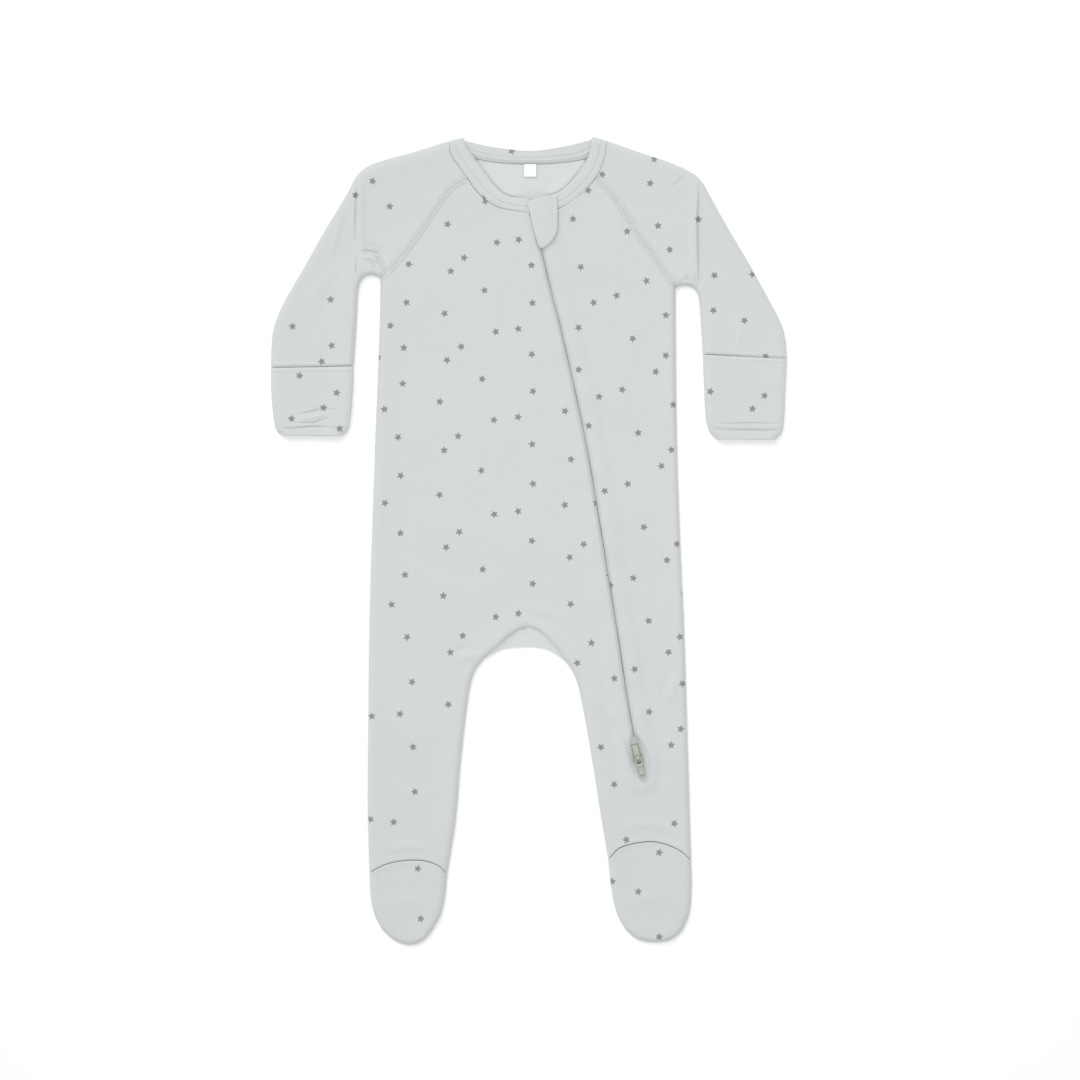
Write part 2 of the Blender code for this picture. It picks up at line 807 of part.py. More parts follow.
def make_foot(side, sole_side, outer, toe_outer, inner, toe_inner, toe_tip, instep):
    """Upper foot piece below the instep seam, and the sole that it lies on."""
    toes = patch(
        TOE_ROWS, lambda row: at(toe_outer, row), lambda row: at(toe_inner, row),
        lambda t: instep(t) - Vector((0.0, CURVED_GAP)), toe_tip,
        (ROLL_LINES, 3, ROLL_LINES), raised,
    )
    shell("foot_" + side, (toes,), JERSEY)

    def edge(leg, toe):
        return lambda row: at(leg, row) if row < 10 else at(toe, row - 10)

    seam = heel(outer, inner)
    rows = rows_between((HEEL_ROW + FIRST_ROW, 10, 11), (2, 7))
    sole = patch(
        rows, edge(outer, toe_outer), edge(inner, toe_inner),
        lambda t: seam(t) - Vector((0.0, CURVED_GAP)), toe_tip,
        ((0.0,), 6, (0.0,)), resting,
    )
    shell(sole_side, (sole,), JERSEY)


def make_feet():
    """Both feet; the left one's tables run the other way round the toes."""
    make_foot(
        "right", "sole_right", SIDE_RIGHT, TOE_SIDE_RIGHT, INSEAM_RIGHT, TOE_INNER_RIGHT,
        stretch(TOE_TIP_RIGHT, 0, 1), stretch(INSTEP_RIGHT, 0, 1),
    )
    make_foot(
        "left", "sole_left", SIDE_LEFT, TOE_SIDE_LEFT, INSEAM_LEFT, TOE_INNER_LEFT,
        stretch(TOE_TIP_LEFT, 1, 0), stretch(INSTEP_LEFT, 1, 0),
    )


def make_sleeve(name, inward, fold, raglan, back_raglan, underarm, neck, back_neck, neck_gap):
    """One piece of cloth: upper layer, fold along the outer edge, lower layer."""
    def fold_line(row):
        return beside((fold,), row, inward * FOLD_RADIUS)

    def seam(front, row):
        half = -inward * SEAM_GAP / 2
        return beside((front,), row / 2, half) if row < 4 else at(underarm, row)

    top_layer = patch(
        SLEEVE_ROWS, lambda row: seam(raglan, row), fold_line,
        stretch(neck, 1, 0, neck_gap), None,
        (ROLL_LINES, 2, FOLD_LINES), raised,
    )
    low_layer = patch(
        SLEEVE_ROWS, fold_line, lambda row: seam(back_raglan, row),
        stretch(*back_neck, -CURVED_GAP), None,
        ((0.0,), 4, (0.0,)), resting,
    )
    grid = []
    for row, above, below in zip(SLEEVE_ROWS, top_layer, low_layer):
        outward = (at(fold, row) - fold_line(row)).normalized()
        grid.append(above + roll(above[-1], outward, WALL) + below)
    shell(name, (grid,), JERSEY)


def make_sleeves():
    """Both sleeves, mirrored in the way that their tables run."""
    make_sleeve(
        "sleeve_right", 1, FOLD_RIGHT, RAGLAN_RIGHT, BACK_RAGLAN_RIGHT, UNDERARM_RIGHT,
        NECK_SEAM_RIGHT, (BACK_NECK_SEAM, 0, 1), -CURVED_GAP,
    )
    make_sleeve(
        "sleeve_left", -1, FOLD_LEFT, RAGLAN_LEFT, BACK_RAGLAN_LEFT, UNDERARM_LEFT,
        NECK_SEAM_LEFT, (BACK_NECK_SEAM, 4, 3), CURVED_GAP,
    )


def make_cuff(name, inner, outer):
    """Flattened tube, folded along both edges, with a turned hem at its open end."""
    grid = []
    length = (at(inner, 0) - at(inner, 1)).length
    for row in CUFF_ROWS:
        start, end = at(inner, row), at(outer, row)
        way = (end - start).normalized()
        width = (end - start).length - 2 * FOLD_RADIUS
        hem = HEM_LIFT if (1 - row) * length < HEM_DEPTH else 0.0
        places = [start + way * (FOLD_RADIUS + width * u) for u in lines_across(width, *CUFF_LINES)]
        above = [raised(place, hem) for place in places]
        below = [resting(place) for place in reversed(places)]
        ring = above + roll(above[-1], way, WALL) + below
        ring += list(reversed(roll(above[0], -way, WALL))) + above[:1]
        grid.append(ring)
    shell(name, (grid,), JERSEY)


def make_binding():
    """Doubled band round the neck, folded at both shoulders and parted at the zip."""
    wall = WALL + BINDING_LIFT
    grid = []
    for share in BINDING_LINES:
        def place(seam, free, row):
            return at(seam, row).lerp(at(free, row), share)

        steps = [3.0 * i / NECK_STEPS for i in range(NECK_STEPS + 1)]
        right = [place(NECK_SEAM_RIGHT, NECK_FREE_RIGHT, row) for row in reversed(steps)]
        left = [place(NECK_SEAM_LEFT, NECK_FREE_LEFT, row) for row in steps]
        behind = [
            place(BACK_NECK_SEAM, BACK_NECK_FREE, 4.0 * i / NECK_STEPS) for i in range(NECK_STEPS + 1)
        ]
        line = [raised(point, BINDING_LIFT) for point in right]
        line += roll(line[-1], shoulder_outward(FOLD_RIGHT), wall)
        line += [resting(point, wall) for point in behind]
        above = [raised(point, BINDING_LIFT) for point in left]
        line += list(reversed(roll(above[0], shoulder_outward(FOLD_LEFT), wall))) + above
        grid.append(line)
    shell("neck_binding", (grid,), JERSEY)


def shoulder_outward(fold):
    """Direction in plan, away from the neck, at the shoulder end of a fold."""
    way = (at(fold, 0.0) - at(fold, -0.4)).normalized()
    return Vector((-way.y, way.x)) if way.x > 0 else Vector((way.y, -way.x))


def make_zip_tape(name, side):
    """Tape under one edge of the slit, with its row of teeth as a plain rib in the slit."""
    columns = (             # distance from the zip's centre, top face
        (COIL_GAP, COIL_TOP),
        (COIL_HALF, COIL_TOP),
        (COIL_HALF + COIL_SLOPE, TAPE_TOP),
        (TAPE_HALF, TAPE_TOP),
    )
    grid = []
    for row in rows_between((TAPE_TOP_ROW, 0, 2, 8, TAPE_END_ROW), (2, 6, 20, 1)):
        line = []
        for across, top in columns:
            point = beside((ZIP_LINE,), row, side * across)
            line.append((Vector((*point, top)), Vector((*point, TAPE_UNDER))))
        grid.append(line)
    shell(name, (grid,), TAPE, TAPE_ROUGHNESS)


def make_guard():
    """Chin guard, a doubled flap that lies over the top of the zip."""
    def over_binding(point):
        top = upper(point)[0] + BINDING_LIFT + LAYER_GAP
        return Vector((*point, top + GUARD_WALL)), Vector((*point, top))

    rows = rows_between((0, 1), (GUARD_STEPS,))
    guard = patch(
        rows, lambda row: at(GUARD_LEFT_EDGE, row), lambda row: at(GUARD_RIGHT_EDGE, row),
        stretch(GUARD_TOP_EDGE, 0, 1), stretch(GUARD_TIP_EDGE, 0, 1),
        ((0.0,), 4, (0.0,)), over_binding,
    )
    shell("zip_guard", (guard,), JERSEY)


def block(name, low, high, colour=None, roughness=METAL_ROUGHNESS, metallic=0.0):
    """Box between two corners; without a colour it is a hidden cutter or tool."""
    bm = bmesh.new()
    bmesh.ops.create_cube(bm, size=1.0)
    size = [(b - a) * MM for a, b in zip(low, high)]
    middle = [(a + b) / 2 * MM for a, b in zip(low, high)]
    bmesh.ops.scale(bm, vec=size, verts=bm.verts)
    bmesh.ops.translate(bm, vec=middle, verts=bm.verts)
    obj = new_object(name, bm, colour or METAL, roughness, metallic)
    if colour is None:
        hide_tool(obj)
    return obj


def hide_tool(obj):
    obj.hide_render = True
    obj.display_type = "WIRE"


def combine(obj, tool, operation):
    step = obj.modifiers.new(operation.lower() + "_" + tool.name, "BOOLEAN")
    step.operation = operation
    step.object = tool
    tool.parent = obj


def place_on_zip(obj):
    """Stand an object on the hinge, with its +Y up the zip."""
    centre = at(ZIP_LINE, HINGE_ROW)
    way = at(ZIP_LINE, HINGE_ROW - 0.1) - centre
    obj.location = (centre.x * MM, centre.y * MM, HINGE_Z * MM)
    obj.rotation_euler = (0.0, 0.0, math.atan2(-way.x, way.y) + SLIDER_LEAN)


def plate(name, half_outline, bottom, top):
    """Flat metal plate between two heights, mirrored from one half of its outline."""
    bm = bmesh.new()
    outline = [Vector((x, y)) for x, y in half_outline]
    outline += [Vector((-p.x, p.y)) for p in reversed(outline)]
    face = bm.faces.new([bm.verts.new((p.x * MM, p.y * MM, bottom * MM)) for p in outline])
    lifted = bmesh.ops.extrude_face_region(bm, geom=[face])["geom"]
    verts = [item for item in lifted if isinstance(item, bmesh.types.BMVert)]
    bmesh.ops.translate(bm, vec=(0.0, 0.0, (top - bottom) * MM), verts=verts)
    bmesh.ops.recalc_face_normals(bm, faces=bm.faces)
    return new_object(name, bm, METAL, METAL_ROUGHNESS, 1.0)


def make_slider():
    """Top plate of the slider over the teeth, with an arched bail that the pull hangs on."""
    under = SLIDER_UNDER - HINGE_Z
    slider = plate("zip_slider", SLIDER_OUTLINE, under, under + SLIDER_THICK)
    rounding = slider.modifiers.new("corners", "BEVEL")
    rounding.width = SLIDER_ROUNDING * MM
    rounding.segments = 2
    bail_width, bail_length = BAIL_SIZE
    bail = block(
        "bail_tool", (-bail_width / 2, -bail_length / 2, under + SLIDER_THICK / 2),
        (bail_width / 2, bail_length / 2, BAIL_TOP - HINGE_Z),
    )
    tunnel = block(
        "tunnel_tool", (-bail_width, -TUNNEL_LENGTH / 2, TUNNEL_Z[0] - HINGE_Z),
        (bail_width, TUNNEL_LENGTH / 2, TUNNEL_Z[1] - HINGE_Z),
    )
    combine(slider, bail, "UNION")
    combine(slider, tunnel, "DIFFERENCE")
    place_on_zip(slider)


def make_pull():
    """Flat tab with an eye round the bail and a hole at its tip; its origin is on the hinge."""
    pull = plate("zip_pull", PULL_OUTLINE, -PULL_THICK / 2, PULL_THICK / 2)
    eye = block("eye_tool", (-EYE_HALF, EYE_Y[0], -PULL_THICK), (EYE_HALF, EYE_Y[1], PULL_THICK))
    combine(pull, eye, "DIFFERENCE")
    radius, hole_y = TIP_HOLE
    bm = bmesh.new()
    bmesh.ops.create_cone(
        bm, cap_ends=True, segments=HOLE_SIDES, radius1=radius * MM, radius2=radius * MM,
        depth=2 * PULL_THICK * MM,
    )
    bmesh.ops.translate(bm, vec=(0.0, hole_y * MM, 0.0), verts=bm.verts)
    hole = new_object("hole_tool", bm, METAL, METAL_ROUGHNESS)
    hide_tool(hole)
    combine(pull, hole, "DIFFERENCE")
    place_on_zip(pull)


def make_label():
    """Ribbon label that lies on the back under the neck binding."""
    low = (LABEL_X[0], LABEL_Y[0], WALL + LAYER_GAP)
    high = (LABEL_X[1], LABEL_Y[1], WALL + LAYER_GAP + LABEL_THICK)
    label = block("neck_label", low, high, LABEL_WHITE, LABEL_ROUGHNESS)
    rounding = label.modifiers.new("edges", "BEVEL")
    rounding.width = LABEL_ROUNDING * MM
    rounding.segments = 1


def main():
    for obj in list(bpy.data.objects):
        bpy.data.objects.remove(obj, do_unlink=True)
    make_back()
    make_front()
    make_sleeves()
    make_cuff("cuff_right", CUFF_INNER_RIGHT, CUFF_OUTER_RIGHT)
    make_cuff("cuff_left", CUFF_INNER_LEFT, CUFF_OUTER_LEFT)
    make_feet()
    make_binding()
    make_zip_tape("zip_tape_right", -1)
    make_zip_tape("zip_tape_left", 1)
    make_guard()
    make_slider()
    make_pull()
    make_label()


main()
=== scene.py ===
"""Looks of a footed baby sleepsuit of fine printed jersey, laid flat on its back.

The file is laid out as an add-on and run as a script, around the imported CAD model. Tables and
sizes are in millimetres and meshes in metres. +X is the wearer's left, +Y points to the neck.
A curve table has the columns row, x, y, and its curve runs smoothly through its rows. Rows of
the body go from 0 at the neck over 2 at the armpit and 6 at the crotch to 10 at the instep.
Rows of a sleeve go from 0 at the neck over 4 at the armpit to 10 at the cuff seam.
"""

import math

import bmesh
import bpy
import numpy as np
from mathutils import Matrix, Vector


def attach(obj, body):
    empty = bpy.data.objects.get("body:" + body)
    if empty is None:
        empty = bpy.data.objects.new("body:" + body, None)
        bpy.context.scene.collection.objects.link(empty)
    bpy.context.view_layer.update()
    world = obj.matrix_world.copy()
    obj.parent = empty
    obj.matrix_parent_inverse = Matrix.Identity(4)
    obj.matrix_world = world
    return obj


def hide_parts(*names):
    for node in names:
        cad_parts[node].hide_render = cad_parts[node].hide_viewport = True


bl_info = {
    "name": "Footed baby sleepsuit",
    "version": (1, 0, 0),
    "blender": (4, 5, 0),
    "location": "3D View > Sidebar > Sleepsuit",
    "description": "Builds the cloth, sewing, print and zip of a baby sleepsuit",
    "category": "Add Mesh",
}

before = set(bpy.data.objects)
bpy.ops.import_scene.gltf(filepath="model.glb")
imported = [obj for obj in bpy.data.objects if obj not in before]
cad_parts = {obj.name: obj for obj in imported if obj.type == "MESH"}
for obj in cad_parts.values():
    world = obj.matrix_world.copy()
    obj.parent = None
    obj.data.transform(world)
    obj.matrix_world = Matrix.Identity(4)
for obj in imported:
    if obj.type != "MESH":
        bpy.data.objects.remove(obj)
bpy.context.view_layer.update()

MM = 0.001

# ---------------------------------------------------------------- shape of the suit

# Neck: the seam of the binding and its free edge. Row 0 is the shoulder fold, 1 the raglan
# seam, 2 a line down the front and 3 the zip; behind, 0 and 4 are the shoulders.
NECK_SEAM_RIGHT = (
    (0.0, -57.0, 284.6), (0.4, -55.8, 276.6), (1.0, -44.8, 260.8), (1.5, -34.5, 247.4),
    (2.0, -22.0, 239.3), (3.0, 0.2, 234.8),
)
NECK_SEAM_LEFT = (
    (0.0, 55.9, 284.6), (0.4, 54.4, 274.6), (1.0, 48.4, 261.0), (1.5, 38.4, 249.6),
    (2.0, 25.8, 240.2), (3.0, 7.0, 235.6),
)
NECK_FREE_RIGHT = (
    (0.0, -46.9, 287.1), (0.6, -43.4, 280.6), (1.0, -36.7, 271.0), (2.0, -18.9, 249.6),
    (3.0, 0.0, 244.9),
)
NECK_FREE_LEFT = (
    (0.0, 45.1, 287.8), (0.6, 43.8, 279.8), (1.0, 39.9, 270.0), (2.0, 23.8, 251.6),
    (3.0, 7.4, 246.0),
)
BACK_NECK_SEAM = (
    (0.0, -57.0, 284.6), (0.5, -46.4, 278.6), (1.0, -36.7, 274.3), (1.5, -18.5, 271.7),
    (2.0, 0.8, 271.0), (2.5, 20.0, 271.7), (3.0, 39.2, 274.3), (3.5, 47.8, 278.9),
    (4.0, 55.9, 284.6),
)
BACK_NECK_FREE = (
    (0.0, -46.9, 287.1), (1.0, -28.5, 282.9), (2.0, 0.0, 279.7), (3.0, 26.5, 283.1),
    (4.0, 45.1, 287.8),
)

# Front and back panels
RAGLAN_RIGHT = (
    (0.0, -44.8, 260.8), (0.4, -57.6, 251.6), (1.0, -74.9, 226.8), (1.5, -92.2, 203.4),
    (2.0, -106.8, 188.3),
)
RAGLAN_LEFT = (
    (0.0, 48.4, 261.0), (0.4, 59.8, 248.8), (1.0, 74.2, 226.8), (1.5, 90.4, 202.8),
    (2.0, 105.4, 181.4),
)
BACK_RAGLAN_RIGHT = ((0.0, -36.7, 274.3), (1.0, -71.0, 231.4), (2.0, -106.8, 188.3))
BACK_RAGLAN_LEFT = ((0.0, 39.2, 274.3), (1.0, 72.6, 228.6), (2.0, 105.4, 181.4))
SIDE_RIGHT = (
    (2.0, -106.8, 188.3), (3.0, -107.6, 147.0), (4.0, -110.4, 75.0), (5.0, -112.9, 5.0),
    (6.0, -114.8, -62.0), (8.0, -115.8, -155.0), (9.0, -115.9, -198.0), (10.0, -114.7, -239.0),
)
SIDE_LEFT = (
    (2.0, 105.4, 181.4), (3.0, 105.5, 145.0), (4.0, 106.3, 73.0), (5.0, 108.5, 3.0),
    (6.0, 111.4, -62.0), (8.0, 114.3, -155.0), (9.0, 115.4, -196.0), (10.0, 116.5, -230.0),
)
FRONT_LINE = ((0.0, -22.0, 239.3), (2.0, -17.0, 180.0), (4.0, -9.0, 75.0), (6.0, -1.0, -63.2))
BACK_LINE = ((0.0, 0.8, 271.0), (3.0, 0.8, 147.0), (6.0, 1.4, -76.6))
INSEAM_RIGHT = (
    (6.0, -1.0, -63.2), (6.1, -5.0, -64.0), (6.25, -11.4, -67.4), (6.5, -22.5, -77.4),
    (6.7, -32.6, -85.8), (6.85, -39.4, -95.2), (7.0, -43.0, -108.0), (8.0, -49.0, -157.0),
    (9.0, -52.8, -201.0), (10.0, -59.0, -240.0),
)
INSEAM_LEFT = (
    (6.0, -1.0, -63.2), (6.1, 3.0, -64.0), (6.25, 9.2, -67.8), (6.5, 17.6, -76.6),
    (6.7, 24.8, -85.6), (6.85, 31.4, -94.4), (7.0, 36.0, -107.0), (8.0, 45.0, -155.0),
    (9.0, 51.6, -197.0), (10.0, 57.0, -229.0),
)
BACK_INSEAM_RIGHT = ((6.0, 1.4, -76.6), (6.25, -10.8, -77.2), (6.5, -22.4, -79.2)) + INSEAM_RIGHT[4:]
BACK_INSEAM_LEFT = ((6.0, 1.4, -76.6), (6.25, 10.4, -77.8), (6.5, 18.4, -81.2)) + INSEAM_LEFT[4:]

# Centre of the zip
ZIP_LINE = (
    (-0.4, 2.2, 244.8), (0.0, 3.6, 234.7), (0.5, 6.2, 222.0), (1.0, 9.2, 208.0),
    (2.0, 16.2, 178.0), (3.0, 24.0, 147.5), (4.0, 40.4, 73.0), (5.0, 52.4, 3.0),
    (6.0, 63.4, -65.0), (7.0, 70.5, -112.0), (8.0, 78.3, -157.5), (9.0, 83.0, -194.0),
    (10.0, 83.5, -216.6),
)
SLIT_ROW = 8.16         # the slit for the zip keeps its width down to this row
SLIT_END_ROW = 8.3      # ... and is closed from here
SLIT_END_SHARE = 0.995  # the same, as a share of the zip's length
SLIT_HALF = 0.3         # the turned edges of the cloth reach this near to the centre

# Feet: the instep seam in the front, the heel seam in the back, and the outline of the toes
INSTEP_RIGHT = (
    (0.0, -114.7, -239.0), (0.2, -103.7, -233.2), (0.45, -89.3, -230.2), (0.7, -74.9, -230.4),
    (0.88, -64.4, -234.2), (1.0, -59.0, -240.0),
)
INSTEP_LEFT = (
    (0.0, 57.0, -229.0), (0.2, 65.8, -220.6), (0.45, 83.5, -216.6), (0.65, 95.6, -217.6),
    (0.87, 108.7, -223.0), (1.0, 116.5, -230.0),
)
ZIP_AT_INSTEP = 0.45    # row of INSTEP_LEFT where the line of the zip meets it
HEEL_ROW = 9.7          # body row where the heel seam starts at both leg edges
HEEL_RISE = 20.0
TOE_SIDE_RIGHT = (
    (0.0, -114.7, -239.0), (0.4, -114.0, -255.0), (0.75, -111.2, -269.0), (1.0, -105.8, -280.2),
)
TOE_TIP_RIGHT = (
    (0.0, -105.8, -280.2), (0.25, -97.5, -287.4), (0.5, -87.2, -291.2), (0.77, -76.4, -288.4),
    (1.0, -69.2, -280.2),
)
TOE_INNER_RIGHT = (
    (0.0, -59.0, -240.0), (0.4, -60.6, -256.0), (0.75, -63.6, -269.6), (1.0, -69.2, -280.2),
)
TOE_SIDE_LEFT = (
    (0.0, 116.5, -230.0), (0.4, 116.8, -251.0), (0.75, 115.2, -268.6), (1.0, 110.4, -280.8),
)
TOE_TIP_LEFT = (
    (0.0, 70.0, -281.0), (0.25, 78.4, -287.2), (0.5, 90.6, -289.4), (0.77, 102.6, -287.4),
    (1.0, 110.4, -280.8),
)
TOE_INNER_LEFT = (
    (0.0, 57.0, -229.0), (0.4, 59.6, -252.0), (0.75, 63.8, -269.6), (1.0, 70.0, -281.0),
)

# Sleeves: the fold over the shoulder and down the outer edge, and the underarm edge
FOLD_RIGHT = (
    (-0.4, -47.5, 289.4), (0.0, -57.6, 286.9), (1.0, -81.4, 279.4), (2.0, -97.9, 275.0),
    (3.0, -111.6, 270.7), (3.5, -119.2, 266.6), (4.0, -124.8, 260.6), (4.5, -129.2, 252.2),
    (5.0, -135.0, 242.0), (6.0, -148.0, 220.6), (7.0, -161.5, 196.5), (8.0, -174.4, 174.2),
    (8.5, -180.9, 160.5), (9.0, -184.5, 147.6), (10.0, -185.6, 124.2),
)
UNDERARM_RIGHT = (
    (4.0, -107.5, 189.0), (4.5, -112.6, 190.8), (5.0, -118.4, 189.2), (5.5, -121.8, 184.6),
    (6.0, -123.0, 177.6), (8.0, -124.5, 152.0), (10.0, -126.2, 125.4),
)
FOLD_LEFT = (
    (-0.4, 45.7, 290.2), (0.0, 56.5, 286.9), (1.0, 77.8, 279.4), (2.0, 91.4, 275.0),
    (3.0, 106.4, 269.4), (3.5, 116.6, 264.4), (4.0, 123.8, 258.4), (4.5, 128.6, 250.4),
    (5.0, 134.0, 240.4), (6.0, 146.8, 217.8), (7.0, 158.8, 197.6), (8.0, 171.0, 175.4),
    (8.5, 178.7, 161.0), (9.0, 183.3, 149.5), (10.0, 185.4, 130.8),
)
UNDERARM_LEFT = (
    (4.0, 106.1, 182.1), (4.5, 110.8, 182.9), (5.0, 116.6, 182.2), (5.5, 120.6, 179.0),
    (6.0, 122.2, 173.4), (8.0, 123.8, 154.0), (10.0, 125.0, 133.8),
)

# Cuffs: outer and inner edge from the cuff seam, row 0, to the rounded open end, row 1
CUFF_OUTER_RIGHT = (
    (0.0, -185.6, 123.7), (0.35, -185.4, 106.0), (0.75, -183.4, 86.0), (0.92, -181.2, 78.2),
    (1.0, -177.6, 75.4),
)
CUFF_INNER_RIGHT = (
    (0.0, -126.3, 124.9), (0.35, -126.9, 107.0), (0.75, -128.6, 87.0), (0.92, -130.4, 79.0),
    (1.0, -134.0, 75.0),
)
CUFF_OUTER_LEFT = (
    (0.0, 185.4, 130.3), (0.35, 184.2, 108.0), (0.75, 183.2, 85.6), (0.92, 181.4, 76.6),
    (1.0, 177.4, 72.4),
)
CUFF_INNER_LEFT = (
    (0.0, 125.0, 133.3), (0.35, 126.0, 108.0), (0.75, 127.4, 86.6), (0.92, 130.0, 77.6),
    (1.0, 134.6, 72.8),
)

# Chin guard at the top of the zip
GUARD_LEFT_EDGE = ((0.0, -1.2, 242.8), (0.5, 2.4, 226.6), (1.0, 6.6, 211.4))
GUARD_RIGHT_EDGE = ((0.0, 20.2, 247.8), (0.4, 20.6, 234.0), (0.8, 20.0, 221.6), (1.0, 16.4, 214.2))
GUARD_TOP_EDGE = ((0.0, -1.2, 242.8), (0.5, 9.6, 246.6), (1.0, 20.2, 247.8))
GUARD_TIP_EDGE = ((0.0, 6.6, 211.4), (0.45, 9.6, 209.4), (1.0, 16.4, 214.2))

# Thickness of the layers, in section
SEAM_GAP = 0.05         # between two pieces that are sewn edge to edge
UPPER_EDGE_Z = 1.4      # outer face of the upper layer at the outline of the suit
LOWER_EDGE_Z = 1.05     # outer face of the lower layer there
EDGE_RADIUS = 3.8       # of the soft roll of both layers at the outline
UPPER_Z = 3.5           # outer face of the upper layer far from an edge
UPPER_PUFF = 0.8        # the cloth stands this much higher just inside the outline
PUFF_REACH = 20.0
CREASE_START = 7.0      # creases grow from the outline up to their height this far in
LOWER_SEAM = (0.45, 1.0)    # the lower layer's seams are drawn in: depth, half width
FOLD_RADIUS = 2.4       # in plan, where a sleeve or the binding folds from front to back
ZIP_LIFT = 1.3          # the zip lifts the front
ZIP_LIFT_FLAT = 8.0     # ... by that much up to here from its centre
ZIP_LIFT_END = 16.0     # ... and not at all from here
ZIP_LENGTH = 420.0
ZIP_RIPPLE_FADE = (6.0, 24.0)   # the ripples beside the zip end between these distances
BINDING_LIFT = 0.4      # the doubled binding stands this much above the panel
BINDING_WIDTH = 10.2
BINDING_STITCHES = (0.7, 4.1)   # needle lines of the binding, from its seam
BINDING_DIPS = (0.12, 0.4)      # how far they draw it in
BINDING_DIP_HALF = 0.9
BINDING_CROWN = 0.45    # the middle of the band over its edges
BAND_THICK = 1.5        # two layers of jersey, sewn together
GUARD_LIFT = 0.7        # the guard's under face above the top of the panel
GUARD_WALL = 1.4
GUARD_THICK = 1.2       # of the drawn flap, whose edges are rounded off
GUARD_ROUNDING = 1.3
GUARD_EDGE_DROP = 0.55
GUARD_LINES = (0.0, 0.12, 0.35, 0.7, 1.1, 1.5, 2.0, 2.5, 3.2)
HEM_LIFT = 0.35         # turned hem of a cuff
HEM_DEPTH = 6.0
HEM_STEP = 0.8          # the hem's edge shows through as a step this wide
BACK_WALL = 1.0         # the back and the soles lie flat and are a little thicker

